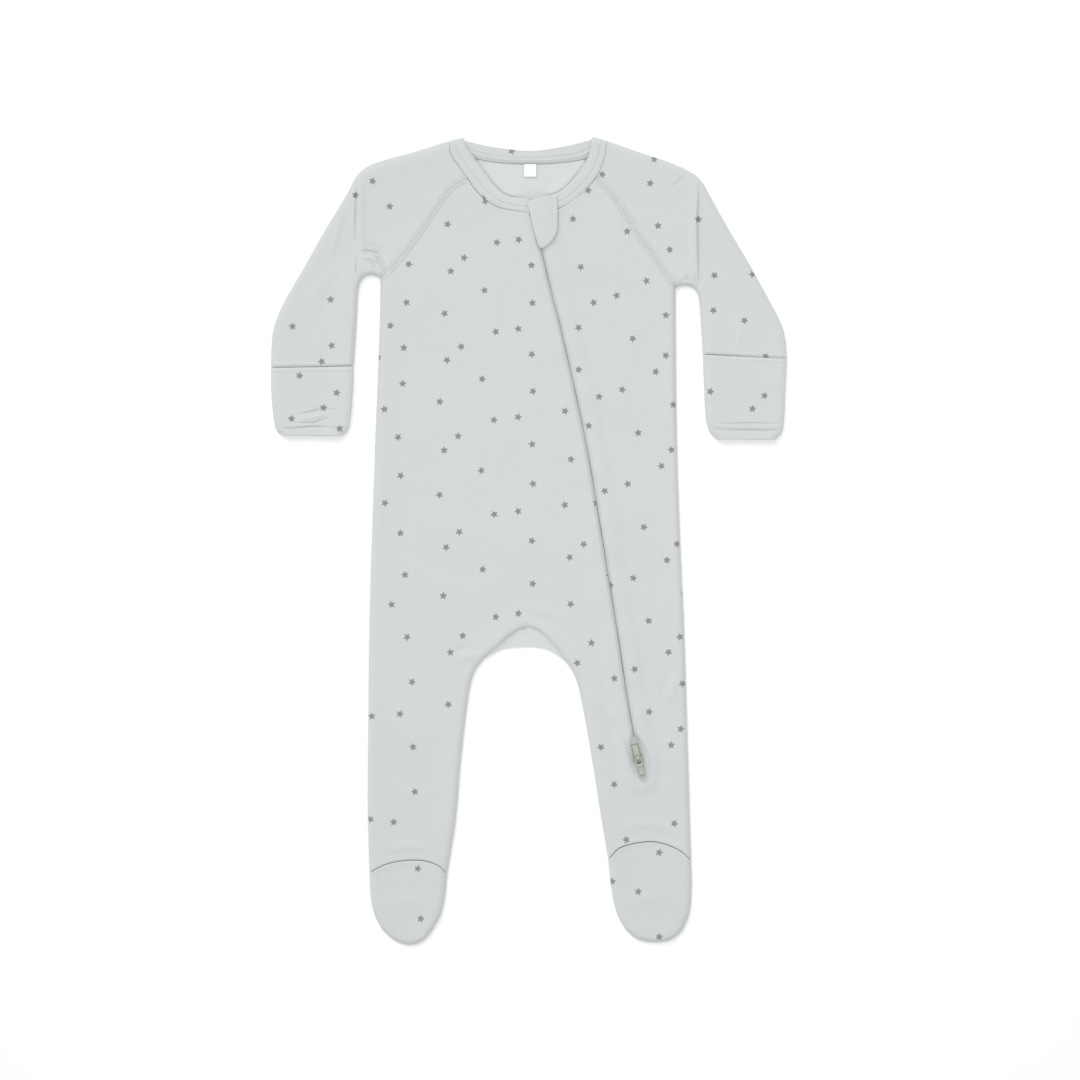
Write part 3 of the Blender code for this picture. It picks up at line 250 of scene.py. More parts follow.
# Creases of the upper layer: half width, height, then the points that each one runs through
CREASES = (
    # shoulders, where the sleeves turn down
    (6.0, 1.3, (-121.2, 262.0), (-121.8, 232.0), (-120.4, 204.0), (-120.9, 194.0)),
    (1.3, -1.6, (-123.9, 260.0), (-124.5, 236.0), (-125.0, 212.0)),
    (1.0, -1.2, (-124.6, 205.0), (-123.8, 187.0)),
    (6.0, 1.3, (119.8, 260.0), (118.8, 230.0), (119.4, 202.0), (119.8, 188.0)),
    (1.4, -2.0, (122.8, 258.0), (121.3, 230.0), (122.0, 202.0), (122.7, 178.0)),
    (4.0, 0.5, (-132.0, 240.0), (-140.0, 214.0), (-146.0, 196.0)),
    (4.0, 0.5, (129.0, 236.0), (137.0, 212.0), (144.0, 196.0)),
    # armpits
    (2.2, -2.6, (-120.0, 207.4), (-113.6, 207.2), (-109.4, 205.9), (-104.4, 195.8), (-102.6, 190.0)),
    (5.0, -1.0, (-119.0, 211.4), (-112.6, 210.8), (-106.4, 207.4), (-101.6, 196.0)),
    (2.0, 1.3, (-118.5, 203.0), (-113.0, 202.4), (-109.6, 199.0)),
    (1.1, -1.2, (-113.4, 199.0), (-107.6, 190.6)),
    (1.4, -1.1, (106.0, 184.6), (114.0, 187.4), (121.0, 185.0)),
    (0.9, -0.9, (113.8, 191.6), (113.4, 184.0)),
    (0.9, -0.9, (118.8, 191.6), (119.6, 184.6)),
    (1.4, -1.0, (114.4, 264.2), (103.2, 253.6)),
    # chest and waist
    (9.0, 0.35, (-98.0, 182.0), (-74.0, 160.0), (-56.0, 128.0)),
    (8.0, -0.3, (-100.0, 166.0), (-84.0, 140.0), (-78.0, 112.0)),
    (9.0, 0.35, (98.0, 174.0), (78.0, 150.0), (66.0, 118.0)),
    (12.0, 0.3, (-92.0, 20.0), (-52.0, 4.0), (-14.0, 10.0)),
    (12.0, -0.25, (-84.0, -14.0), (-44.0, -26.0), (-8.0, -16.0)),
    (10.0, 0.3, (66.0, 20.0), (84.0, 2.0), (100.0, -6.0)),
    # sleeves
    (7.0, 0.6, (-136.0, 200.0), (-152.0, 178.0), (-166.0, 160.0)),
    (5.0, -0.35, (-132.0, 176.0), (-146.0, 168.0), (-158.0, 148.0)),
    (7.0, 0.6, (134.0, 196.0), (148.0, 178.0), (160.0, 158.0)),
    (5.0, -0.35, (130.0, 172.0), (142.0, 166.0), (156.0, 150.0)),
    (3.0, 0.35, (-150.0, 134.0), (-152.0, 146.0)),
    (3.0, 0.35, (150.0, 140.0), (153.0, 152.0)),
    # cuffs: the mitten flap of the right one is turned back
    (1.0, -1.1, (-167.5, 90.0), (-158.0, 92.0), (-146.9, 94.7), (-137.6, 92.7)),
    (2.4, 0.6, (-165.0, 86.6), (-154.0, 88.4), (-141.0, 91.4)),
    (1.0, -1.0, (-167.5, 83.9), (-155.5, 84.2), (-143.5, 87.8)),
    (0.9, -0.9, (-175.5, 79.9), (-155.5, 81.7), (-146.0, 81.5)),
    (0.9, -0.8, (-178.4, 85.0), (-178.6, 78.0)),
    (1.0, -0.9, (134.0, 83.4), (158.0, 83.9), (182.0, 83.6)),
    (0.9, -0.9, (134.4, 78.6), (158.0, 79.0), (182.0, 78.4)),
    (0.8, -0.5, (133.4, 84.0), (133.2, 76.4)),
    (0.8, -0.5, (181.1, 84.6), (181.1, 77.6)),
    # crotch and legs
    (4.0, -0.6, (-6.5, -52.6), (16.6, -59.0), (33.1, -75.6)),
    (6.0, 0.5, (-14.0, -46.0), (12.0, -50.0), (36.0, -64.0)),
    (4.5, 0.8, (-55.0, -86.8), (-45.0, -84.2), (-35.3, -82.8)),
    (3.0, -0.5, (-58.0, -80.0), (-46.0, -77.6), (-36.0, -78.6)),
    (5.5, 1.1, (39.0, -106.0), (49.0, -118.0), (60.0, -128.0)),
    (4.0, -0.5, (42.0, -98.0), (52.0, -108.0), (60.0, -120.0)),
    (4.5, 0.8, (99.0, -117.0), (104.0, -106.0), (108.6, -94.0)),
    (3.0, -0.5, (94.0, -112.0), (99.0, -102.0), (103.0, -90.0)),
    (6.0, 0.4, (-104.0, -130.0), (-84.0, -142.0), (-62.0, -140.0)),
    (7.0, 0.4, (-104.0, -176.0), (-82.0, -184.0), (-62.0, -180.0)),
    (4.0, -0.35, (48.0, -154.0), (54.0, -157.6), (62.0, -156.6)),
    # the cloth gives way beside the zip's slider, and its end is puckered
    (2.4, -1.7, (76.0, -139.0), (82.8, -151.0), (86.0, -163.0), (87.6, -170.0)),
    (1.9, -1.6, (69.4, -143.0), (72.2, -152.0), (74.6, -160.0), (77.6, -170.0)),
    (1.0, -0.7, (86.0, -168.5), (94.0, -168.8), (104.0, -168.5)),
    (2.6, -1.5, (79.6, -166.0), (81.4, -170.6)),
    (5.0, 0.5, (88.0, -152.0), (91.0, -162.0)),
    # insteps and toes
    (6.0, 0.8, (-100.0, -222.0), (-87.0, -219.0), (-72.0, -222.0)),
    (6.0, 0.8, (70.0, -206.0), (84.0, -203.0), (100.0, -207.0)),
    (2.6, -0.5, (-110.0, -240.0), (-106.0, -246.0), (-104.0, -258.0)),
    (2.6, -0.5, (112.0, -232.0), (108.0, -238.0), (107.0, -250.0)),
    (8.0, 0.6, (-104.0, -264.0), (-88.0, -258.0), (-72.0, -262.0)),
    (8.0, 0.6, (72.0, -262.0), (90.0, -256.0), (104.0, -262.0)),
)
# Faint waves of the resting cloth: length of a wave, direction in degrees, phase, height
WAVES = (
    (142.0, 18.0, 0.4, 0.16), (96.0, 104.0, 1.9, 0.13), (71.0, 62.0, 3.1, 0.10),
    (53.0, 151.0, 0.9, 0.07), (34.0, 84.0, 2.2, 0.04), (27.0, 12.0, 4.0, 0.03),
)
# The cloth beside the zip ripples a little: length of a wave, phase, height
ZIP_RIPPLES = ((47.0, 0.6, 0.20), (29.0, 2.1, 0.14), (19.0, 4.0, 0.07))

# Sewing: the ridge of the seam allowance and the groove of the seam itself
SEAM_RIDGE = 0.3
SEAM_RIDGE_FADE = (2.2, 3.4)    # the ridge ends between these distances from the seam
NEEDLE_GAP = 2.6        # the two needle lines of a raglan seam lie this far on each side of it
STITCH_DIP = 0.15       # a needle line draws the cloth in this far
STITCH_DIP_HALF = 0.6
SLIT_DIP = 1.85         # the cloth rolls down this far into the slit
SLIT_DIP_REACH = 2.7
SLIT_DIP_POWER = 1.3
# Painted shade along the zip's slit: the cloth beside the slit is painted darker, for the shade in the
# slit's groove
SLIT_SHADE_FADE = (0.5, 3.4)     # the painted shade is full up to the first of these distances from the zip's centre and gone at the second
SLIT_SHADE_SHARE = 0.15
SLIT_SHADE_TINT = (0.5, 0.54, 0.49)     # the greenish share of the cloth's colour that the painted shade darkens it towards
STITCH_PITCH = 1.06     # a stitch with the gap to the next, as a share of its length
THREAD_LIFT = 0.06      # of the middle of a thread over the cloth it is sewn into
CROSS_SPACING = 1.05    # looper thread that zigzags over a raglan seam
CROSS_THREAD = 0.55     # its thickness, as a share of the needle thread's
CROSS_LIFT = 0.14
CUFF_HEM_ROW = 0.86
CUFF_HEM_ENDS = (0.07, 0.93)    # shares of the cuff's width between which its hem is sewn
BACK_BAND_TOP = 1.6     # the neck band's inner side, where it lies on the surface
BACK_BAND_THREAD = -0.15    # its thread, pulled in under that
BACK_BAND_LIFT = 1.3    # the band's cloth off the surface, but for its needle line
BACK_BAND_REACH = 3.4   # ... and but for this much beside its seam

# The back rolls up against the free edge of the front inside the neck: share of the way along
# that edge from the right shoulder to the left one, height
NECK_ROLL = (
    (0.0, 0.0), (0.14, 0.1), (0.26, 0.7), (0.4, 0.8), (0.46, 0.0), (0.57, 0.0), (0.63, 0.7),
    (0.78, 0.7), (0.9, 0.1), (1.0, 0.0),
)
NECK_ROLL_START = (0.3, 1.3)    # distances from the edge between which it rises
NECK_ROLL_END = (1.8, 7.5)      # ... and falls again

# Zip: tapes, teeth, and the slider and pull tab in a frame with +Y up the zip from the hinge
TAPE_TOP_ROW = -0.36
TAPE_END_ROW = 8.1
TAPE_INNER = 0.5        # edges of each tape, from the zip's centre
TAPE_OUTER = 11.0
TAPE_TOP = 1.75
TAPE_THICK = 0.6
TAPE_LINES = (TAPE_INNER, 1.2, 2.0, 3.0, 4.5, 6.5, 8.5, TAPE_OUTER)
TOOTH_SIZE = (2.3, 1.15, 1.0)
TOOTH_OVERLAP = 0.45    # the teeth reach this far past the centre
TOOTH_LEAN = 0.18       # each loop of the filament leans this much along the zip
TOOTH_Z = 1.85
HINGE_ROW = 7.98
HINGE_Z = 7.5
SLIDER_LEAN = math.radians(5.0)     # the slider and its pull lie a little askew on the teeth
SLIDER_UNDER = 5.1
SLIDER_THICK = 1.1
SLIDER_WIDTHS = (       # y, half width; the mouth faces down, where the zip opens
    (-3.2, 3.4), (-2.4, 4.1), (3.0, 4.2), (9.4, 3.7), (13.6, 2.7), (15.0, 1.9), (15.8, 0.9),
)
SLIDER_CROWN = 0.15
SLIDER_EDGE = 0.4       # rounding of its edges
SLIDER_CHANNEL = (0.6, 0.16, 0.35)  # a groove along each side: share of the half width, half, depth
SLIDER_CHANNEL_END = (9.0, 12.0)    # y between which the grooves run out
SLIDER_DENT = (9.4, 1.3, 0.35)      # a small cross groove on the plate: y, half width, depth
BAIL_WIDTH = 2.0
BAIL_HALF = 2.3
BAIL_THICK = 0.8
BAIL_EDGE = 0.25
BAIL_TOP_Z = 9.0
BAIL_ARCH = 0.6         # flatter on top and steeper at its feet than a half circle
PULL_THICK = 1.0
PULL_EDGE = 0.28
PULL_WIDTHS = (         # y, half width
    (-14.3, 1.6), (-13.7, 2.25), (-13.2, 2.5), (-5.9, 2.5), (-4.9, 2.8), (-0.2, 2.8), (0.5, 2.5),
)
# Lines of the tab's plate, x as a share of its half width, and what they bound
PULL_LINES_X = (-1.0, -0.76, -0.48, -0.24, 0.0, 0.24, 0.48, 0.76, 1.0)
PULL_LINES_Y = (
    -14.3, -13.8, -13.3, -12.8, -12.2, -11.6, -11.1, -10.6, -9.92, -9.24, -8.56, -7.88, -7.2,
    -6.4, -5.9, -5.4, -4.9, -3.9, -3.0, -2.2, -1.4, -0.5, 0.5,
)
PULL_EYE = ((-0.48, -3.9), (0.48, -0.5))        # hole round the bail, from and to
PULL_TIP_HOLE = ((-0.48, -13.3), (0.48, -11.6))
PULL_SUNK = (0.6, -10.9, -6.1)      # its thinner middle: share of the half width, y from and to

# Label
LABEL_X = (-3.6, 5.4)
LABEL_Y = (261.6, 270.2)
LABEL_Z = (1.45, 2.15)
LABEL_THICK = 0.35
LABEL_WAVE = (0.12, 2.6)    # height of its soft waves, and how many half waves there are

# Stage
FLOOR_HALF = 2.5
FLOOR_Z = -0.0004
CAMERA_PLACE = (0.0079, 0.0, 1.836)
CAMERA_LENS = 85.0
WORLD_LIGHT = 0.74
KEY_FROM = (-0.55, 1.0, 0.9)    # a broad soft source, far away
KEY_WIDTH = 34.0                # degrees
KEY_STRENGTH = 1.0
OVERHEAD_PLACE = (0.0, 0.12, 2.2)
OVERHEAD_CONE = 42.0            # degrees
OVERHEAD_POWER = 43.0
OVERHEAD_SIZE = 0.3

# How finely the cloth is divided: lines at these distances from an edge
ROLL_LINES = (0.0, 0.1, 0.35, 0.75, 1.3, 2.0, 2.9, 4.2, 6.0)
SEAM_LINES = (0.0, 0.4, 0.9, 1.5, 2.1, 2.6, 3.1, 3.8, 5.0, 6.6)
SLIT_LINES = (0.0, 0.2, 0.45, 0.75, 1.1, 1.5, 1.9, 2.4, 3.0, 3.8, 5.0, 6.6, 8.2, 10.0, 12.0)
ROLL_STEPS = 12
FIRST_ROW = 0.012       # a piece starts this far from the seam at its row 0


# ---------------------------------------------------------------- sizes and colours to change

def hex_colour(code):
    """Linear colour, with alpha, of an sRGB hex value."""
    parts = [int(code[i:i + 2], 16) / 255 for i in (1, 3, 5)]
    return [c / 12.92 if c <= 0.04045 else ((c + 0.055) / 1.055) ** 2.4 for c in parts] + [1.0]


def size_property(name, description, default_mm):
    return bpy.props.FloatProperty(
        name=name, description=description, default=default_mm * MM, min=0.0, precision=5,
        unit="LENGTH",
    )


def colour_property(name, description, code):
    return bpy.props.FloatVectorProperty(
        name=name, description=description, default=hex_colour(code), size=4, min=0.0, max=1.0,
        subtype="COLOR",
    )


class SleepsuitSizes(bpy.types.PropertyGroup):
    wall: size_property("Jersey", "Thickness of one layer of jersey", 0.9)
    star: size_property("Star", "Printed star, from its middle to a point", 2.9)
    wale: size_property("Wale", "Spacing of the drawn knit wales", 1.3)
    stitch: size_property("Stitch", "Length of a stitch", 2.4)
    thread: size_property("Thread", "Thickness of the sewing thread", 0.42)
    tooth: size_property("Zip tooth", "Spacing of the zip's teeth", 1.25)


class SleepsuitColours(bpy.types.PropertyGroup):
    jersey: colour_property("Jersey", "Ground colour of the cloth", "#CACECE")
    inside: colour_property("Inside", "Inner face of the cloth", "#CFD3D3")
    star: colour_property("Star", "Printed stars", "#7B8081")
    thread: colour_property("Thread", "Sewing thread", "#C8CDCD")
    tape: colour_property("Zip tape", "Woven tape of the zip", "#C9CDC8")
    coil: colour_property("Zip coil", "Nylon teeth of the zip", "#C6CBC5")
    metal: colour_property("Metal", "Nickel plate of slider and pull", "#B1B6AF")
    label: colour_property("Label", "Satin ribbon of the label", "#F6F7F7")


# ---------------------------------------------------------------- curves and plans

def curve(table, rows):
    """Points of a table's smooth curve at an array of rows."""
    table = np.array(table, float)
    knots, points = table[:, 0], table[:, 1:]
    low = np.maximum(np.arange(len(knots)) - 1, 0)
    high = np.minimum(np.arange(len(knots)) + 1, len(knots) - 1)
    slopes = (points[high] - points[low]) / (knots[high] - knots[low])[:, None]
    i = np.clip(np.searchsorted(knots, rows, side="right") - 1, 0, len(knots) - 2)
    step = (knots[i + 1] - knots[i])[..., None]
    t = (rows - knots[i])[..., None] / step
    blend = t * t * (3 - 2 * t)
    bend = slopes[i] * t * (1 - t) ** 2 + slopes[i + 1] * t * t * (t - 1)
    return points[i] + (points[i + 1] - points[i]) * blend + bend * step


def beside(table, rows, distance):
    """The same, moved by a distance to the left-hand side of the way that the curve runs."""
    rows = np.asarray(rows, float)
    step = 0.02
    low = np.maximum(rows - step, table[0][0])
    high = np.minimum(rows + step, table[-1][0])
    way = curve(table, high) - curve(table, low)
    way /= np.linalg.norm(way, axis=-1, keepdims=True)
    sideways = np.stack((-way[..., 1], way[..., 0]), -1)
    return curve(table, rows) + sideways * np.asarray(distance, float)[..., None]


def along(tables, rows, distances):
    """Points at rows of an edge whose tables meet at corners, each moved by its own distance."""
    rows = np.asarray(rows, float)
    points = np.empty(rows.shape + (2,))
    left = np.ones(rows.shape, bool)
    for table, distance in zip(tables, distances):
        here = left & (rows <= table[-1][0] + (1.0 if table is tables[-1] else 0.0))
        points[here] = beside(table, rows[here], distance)
        left &= ~here
    return points


def stretch(table, low, high, distance=0.0):
    """A stretch of a curve as a function of 0 to 1, moved to its left-hand side."""
    return lambda t: beside(table, low + (high - low) * np.asarray(t, float), distance)


def rows_between(stations, counts):
    """Rows from each station to the next, split in the given numbers of steps."""
    parts = [np.linspace(a, b, n, endpoint=False) for a, b, n in zip(stations, stations[1:], counts)]
    return np.concatenate(parts + [[stations[-1]]])


def fractions(width, from_left, middle, from_right):
    """Fractions of each width with lines at given distances from both edges."""
    from_left, from_right = np.array(from_left), np.array(from_right)
    reach = from_left[-1] + from_right[-1]
    scale = np.minimum(1.0, 0.8 * width / reach) / width if reach else 1 / width
    left = from_left * scale
    right = 1 - from_right[::-1] * scale
    steps = np.arange(1, middle + 1) / (middle + 1)
    inner = left[:, -1:] + (right[:, :1] - left[:, -1:]) * steps
    return np.concatenate((left, inner, right), axis=1)


def pulled(start, end, edge):
    """An end of a panel, pulled to two corners; without a curve it is a straight line."""
    if edge is None:
        return lambda t: start + (end - start) * t[..., None]
    first, last = edge(0.0), edge(1.0)
    return lambda t: edge(t) + (start - first) * (1 - t[..., None]) + (end - last) * t[..., None]


def panel(rows, left_edge, right_edge, first_end, last_end, across):
    """Plan of a panel, points[row, column], inside two edges and two ends."""
    v = ((rows - rows[0]) / (rows[-1] - rows[0]))[:, None, None]
    left, right = left_edge(rows), right_edge(rows)
    u = fractions(np.linalg.norm(left - right, axis=1)[:, None], *across)
    top = pulled(left[0], right[0], first_end)(u)
    bottom = pulled(left[-1], right[-1], last_end)(u)
    u = u[..., None]
    sides = left[:, None] * (1 - u) + right[:, None] * u
    corners = (left[0] * (1 - u) + right[0] * u) * (1 - v) + (left[-1] * (1 - u) + right[-1] * u) * v
    return sides + top * (1 - v) + bottom * v - corners


# ---------------------------------------------------------------- height of the cloth

def sampled(table, low, high, steps):
    return curve(table, np.linspace(low, high, steps + 1))


ROLLED_EDGES = [
    sampled(table, low, high, steps)
    for tables, low, high, steps in (
        ((SIDE_RIGHT, SIDE_LEFT), 2, 10, 30),
        ((INSEAM_RIGHT, INSEAM_LEFT), 6, 10, 40),
        ((UNDERARM_RIGHT, UNDERARM_LEFT), 4, 10, 30),
        ((FOLD_RIGHT, FOLD_LEFT), -0.4, 10, 60),
        ((TOE_SIDE_RIGHT, TOE_INNER_RIGHT, TOE_SIDE_LEFT, TOE_INNER_LEFT), 0, 1, 32),
        ((TOE_TIP_RIGHT, TOE_TIP_LEFT), 0, 1, 40),
        ((CUFF_OUTER_RIGHT, CUFF_INNER_RIGHT, CUFF_OUTER_LEFT, CUFF_INNER_LEFT), 0, 1, 12),
    )
    for table in tables
]
CUFF_SEAM_RIGHT = np.array((CUFF_INNER_RIGHT[0][1:], CUFF_OUTER_RIGHT[0][1:]))
CUFF_SEAM_LEFT = np.array((CUFF_INNER_LEFT[0][1:], CUFF_OUTER_LEFT[0][1:]))
UPPER_SEAMS = (         # path, depth of the groove of the seam, its half width
    (sampled(RAGLAN_RIGHT, 0, 2, 24), 0.06, 0.8),
    (sampled(RAGLAN_LEFT, 0, 2, 24), 0.12, 0.8),
    (sampled(NECK_SEAM_RIGHT, 0, 3, 30), 0.05, 0.8),
    (sampled(NECK_SEAM_LEFT, 0, 3, 30), 0.05, 0.8),
    (sampled(INSTEP_RIGHT, 0, 1, 24), 0.55, 0.9),
    (sampled(INSTEP_LEFT, 0, 1, 24), 0.25, 0.9),
    (CUFF_SEAM_RIGHT, 1.1, 2.2),
    (CUFF_SEAM_LEFT, 1.0, 2.0),
)
STITCHED_BESIDE = [
    beside(table, np.linspace(0, 2, 25), side * NEEDLE_GAP)
    for table in (RAGLAN_RIGHT, RAGLAN_LEFT) for side in (-1, 1)
]
LOWER_SEAMS = (
    sampled(BACK_RAGLAN_RIGHT, 0, 2, 16),
    sampled(BACK_RAGLAN_LEFT, 0, 2, 16),
    sampled(BACK_NECK_SEAM, 0, 4, 30),
    CUFF_SEAM_RIGHT,
    CUFF_SEAM_LEFT,
)
ZIP_PATH = sampled(ZIP_LINE, -0.4, SLIT_END_ROW, 60)


def near(points, path):
    """Distance of each point to a path, and how far along the path its nearest place is."""
    flat = points.reshape(-1, 2)
    best = np.full(len(flat), np.inf)
    share = np.zeros(len(flat))
    lengths = np.linalg.norm(np.diff(path, axis=0), axis=1)
    starts = np.concatenate(([0.0], np.cumsum(lengths))) / lengths.sum()
    for a, b, s0, s1 in zip(path, path[1:], starts, starts[1:]):
        way = b - a
        t = np.clip((flat - a) @ way / (way @ way), 0.0, 1.0)
        gap = np.hypot(*(flat - a - t[:, None] * way).T)
        closer = gap < best
        best[closer] = gap[closer]
        share[closer] = (s0 + (s1 - s0) * t)[closer]
    return best.reshape(points.shape[:-1]), share.reshape(points.shape[:-1])


def nearest(points, paths):
    return np.minimum.reduce([near(points, path)[0] for path in paths])


def fade(distance, full, gone):
    """1 up to a distance, and softly down to 0 at another."""
    t = np.clip((gone - distance) / (gone - full), 0.0, 1.0)
    return t * t * (3 - 2 * t)


def bump(distance, half):
    """Rounded ridge of height 1 across its half width."""
    return 0.5 + 0.5 * np.cos(np.pi * np.clip(distance / half, 0.0, 1.0))


def rounding(distance):
    """0 at the outline, 1 where the soft roll there has become flat."""
    t = np.clip(distance / EDGE_RADIUS, 0.0, 1.0)
    return 1 - (1 - t) ** 2


def creases(points):
    height = np.zeros(points.shape[:-1])
    for half, rise, *path in CREASES:
        distance, share = near(points, np.array(path))
        height += rise * bump(distance, half) * (0.15 + 0.85 * np.sin(np.pi * share) ** 0.7)
    for length, turn, phase, rise in WAVES:
        way = np.array((math.cos(math.radians(turn)), math.sin(math.radians(turn))))
        height += rise * np.sin(points @ way * (2 * np.pi / length) + phase)
    return height


def sewing(points):
    """Ridges of the seam allowances, each with the groove of its seam in the middle."""
    ridge = np.zeros(points.shape[:-1])
    groove = np.zeros(points.shape[:-1])
    for path, depth, half in UPPER_SEAMS:
        distance = near(points, path)[0]
        ridge = np.maximum(ridge, SEAM_RIDGE * fade(distance, *SEAM_RIDGE_FADE))
        groove = np.maximum(groove, depth * bump(distance, half))
    return ridge - groove


def upper(points, with_sewing=True):
    """Height of the outer face of the upper layer at places in plan."""
    edge = nearest(points, ROLLED_EDGES)
    puff = UPPER_PUFF * fade(edge, EDGE_RADIUS, PUFF_REACH)
    zip_distance, zip_share = near(points, ZIP_PATH)
    ripple = sum(
        rise * np.sin(zip_share * ZIP_LENGTH * (2 * np.pi / length) + phase)
        for length, phase, rise in ZIP_RIPPLES
    )
    free = np.clip(edge / CREASE_START, 0.0, 1.0)
    height = UPPER_Z + puff + free * (
        ZIP_LIFT * fade(zip_distance, ZIP_LIFT_FLAT, ZIP_LIFT_END)
        + ripple * fade(zip_distance, *ZIP_RIPPLE_FADE) + creases(points)
    )
    if with_sewing:
        height += sewing(points)
        height -= STITCH_DIP * bump(nearest(points, STITCHED_BESIDE), STITCH_DIP_HALF)
        slit = np.clip(1 - (zip_distance - SLIT_HALF) / SLIT_DIP_REACH, 0.0, 1.0)
        height -= SLIT_DIP * slit ** SLIT_DIP_POWER * (zip_share < SLIT_END_SHARE)
    return UPPER_EDGE_Z + (height - UPPER_EDGE_Z) * rounding(edge)


def lower(points):
    """Height of the outer, lower face of the layer that lies on the surface."""
    flat = rounding(nearest(points, ROLLED_EDGES))
    depth, half = LOWER_SEAM
    return LOWER_EDGE_Z * (1 - flat) + depth * bump(nearest(points, LOWER_SEAMS), half) * flat


NECK_EDGE = np.concatenate(
    (sampled(NECK_FREE_RIGHT, 0, 3, 30), sampled(NECK_FREE_LEFT, 0, 3, 30)[-2::-1]),
)


def neck_roll(points):
    """How far the back is rolled up inside the neck."""
    distance, share = near(points, NECK_EDGE)
    inside = points[..., 1] > np.interp(points[..., 0], *NECK_EDGE.T)
    rise = np.interp(share, *zip(*NECK_ROLL))
    return inside * rise * (1 - fade(distance, *NECK_ROLL_START)) * fade(distance, *NECK_ROLL_END)


def standing(points, heights):
    """Places in plan with their heights."""
    return np.concatenate((points, heights[..., None]), axis=-1)


# ---------------------------------------------------------------- print

# One repeat of the print, in mm from its middle: x, y of each star. The stars lie in loose
# pairs and singles, as on a scattered print.
STAR_CHART = (
    (22.3, 33.8), (5.0, 31.7), (-20.9, 20.2), (-31.0, 10.1), (32.4, 14.4), (33.1, -13.7),
    (-4.3, -4.3), (-34.6, -21.6), (-64.1, 19.4), (-62.6, -7.9), (-74.2, -27.4), (56.2, 38.2),
    (60.5, 3.6), (70.6, 12.2),
)
STAR_REPEAT = (153.4, 67.0)
# The same beside the zip, where the cloth was cut from another stretch of the print
STAR_CHART_BESIDE_ZIP = (
    (0.0, 20.2), (-16.6, 15.1), (36.7, 9.4), (-27.4, -2.9), (11.5, -10.8), (35.3, -23.0),
    (28.1, -34.6), (-27.4, -33.1),
)
STAR_REPEAT_BESIDE_ZIP = (110.0, 67.7)
STAR_LEAN_BESIDE_ZIP = -4.0     # each repeat upwards moves this far sideways
# Stars on the small pieces, in mm on the suit; each was cut from a stretch of its own
STARS_SLEEVE_RIGHT = (
    (-112.3, 257.8), (-124.6, 247.7), (-100.1, 239.8), (-142.6, 172.8), (-169.9, 153.4),
    (-141.8, 139.7), (-149.0, 128.2),
)
STARS_SLEEVE_LEFT = (
    (52.6, 262.6), (87.1, 256.3), (90.0, 273.6), (121.7, 230.4), (92.7, 225.8), (101.1, 208.6),
    (160.6, 190.8), (133.2, 190.1), (132.5, 164.9), (154.8, 157.7), (169.9, 131.8), (149.8, 130.3),
)
STARS_CUFF_RIGHT = ((-164.9, 118.1), (-138.2, 105.8), (-147.6, 95.0), (-170.6, 87.1), (-136.1, 79.9))
STARS_CUFF_LEFT = ((130.3, 106.6), (169.2, 103.7), (160.6, 94.3))
STARS_FOOT_RIGHT = ((-79.9, -236.2), (-77.8, -272.2))
STARS_FOOT_LEFT = ((93.6, -224.6), (78.5, -252.7), (93.6, -285.1), (59.8, -245.4))
STARS_NECK_BAND = ((-12.5, 279.7), (-33.1, 245.5))
SLEEVE_REPEAT = (200.0, 75.0)
SLEEVE_LEAN = 75.0      # of the left sleeve; the right one leans the other way
FAR_REPEAT = (500.0, 500.0)     # the piece is smaller than a repeat
STAR_TURN = 137.5       # each star is turned this much more than the one before
STAR_FIFTH = 72.0       # a star looks the same after this turn
STAR_WOBBLE = 0.9       # its printed edge is uneven by this much in all
STAR_BLEED = 0.6        # ... and soft by this much to each side
PRINT_REACH = 460.0     # the repeats are laid out this far to each side

# How the front's cloth lies drawn: height on the print, height on the suit, share of its width
DRAWN_BESIDE_ZIP = (
    (-420.0, -329.6, 0.955), (-190.0, -99.6, 0.955), (-140.0, -52.2, 1.0), (98.2, 186.0, 1.0),
    (124.6, 221.8, 1.0), (150.5, 251.3, 1.0), (200.0, 301.0, 1.0),
)
DRAWN = (
    (-301.0, -289.0, 0.88), (-234.0, -210.5, 0.88), (-167.0, -131.6, 0.88),
    (-100.0, -52.6, 0.94), (-33.0, 20.9, 0.99), (34.0, 88.6, 1.0), (101.0, 151.9, 0.94),
    (168.0, 216.0, 0.90), (235.0, 280.0, 0.90),
)
DRAWN_MIDDLE = -2.9
# Stars that the turned edge of the zip and the leg's seam swallow, and what shows in their stead
STARS_LOST = (
    (39.6, 66.5), (40.5, 85.2), (31.3, 192.3), (106.2, 29.9), (-110.7, -2.7), (45.8, -46.2),
    (24.0, -47.7), (54.3, -69.8), (36.7, -78.2), (27.3, -88.0), (-104.9, -78.4), (-113.2, -88.6),
    (54.2, -102.2), (43.1, -125.6), (-100.3, -157.4), (-109.3, -168.0), (113.5, -172.0),
    (52.8, -182.0), (77.4, -197.8), (89.9, -191.2), (113.0, -203.5), (105.8, -215.6),
    (-83.9, -228.0), (-113.7, -205.0), (-92.7, -203.0), (-54.5, -159.8), (-57.8, -197.2),
    (28.4, 123.9), (-86.6, 176.7), (-86.4, 202.7), (-98.5, 157.9), (86.9, 190.3), (99.6, 165.6),
)
STARS_LOST_REACH = 5.5
STARS_SHOWN = (         # x, y, turn
    (29.9, -46.1, 0.2), (44.9, -74.0, 1.0), (34.7, -88.4, 0.5), (61.3, -99.4, 0.8),
    (61.2, -175.7, 0.3), (69.9, -215.4, 0.6), (-113.9, -200.7, 0.4), (-97.3, -202.7, 0.9),
    (-88.0, 170.7, 0.7), (-86.4, 198.2, 0.1), (-99.6, 153.9, 1.1),
)
STARS_SHOWN_BESIDE_ZIP = (
    (37.2, 196.1, 0.4), (42.9, 82.0, 0.9), (104.4, -203.7, 0.1), (84.4, 186.2, 0.6),
    (98.4, 161.5, 1.0),
)


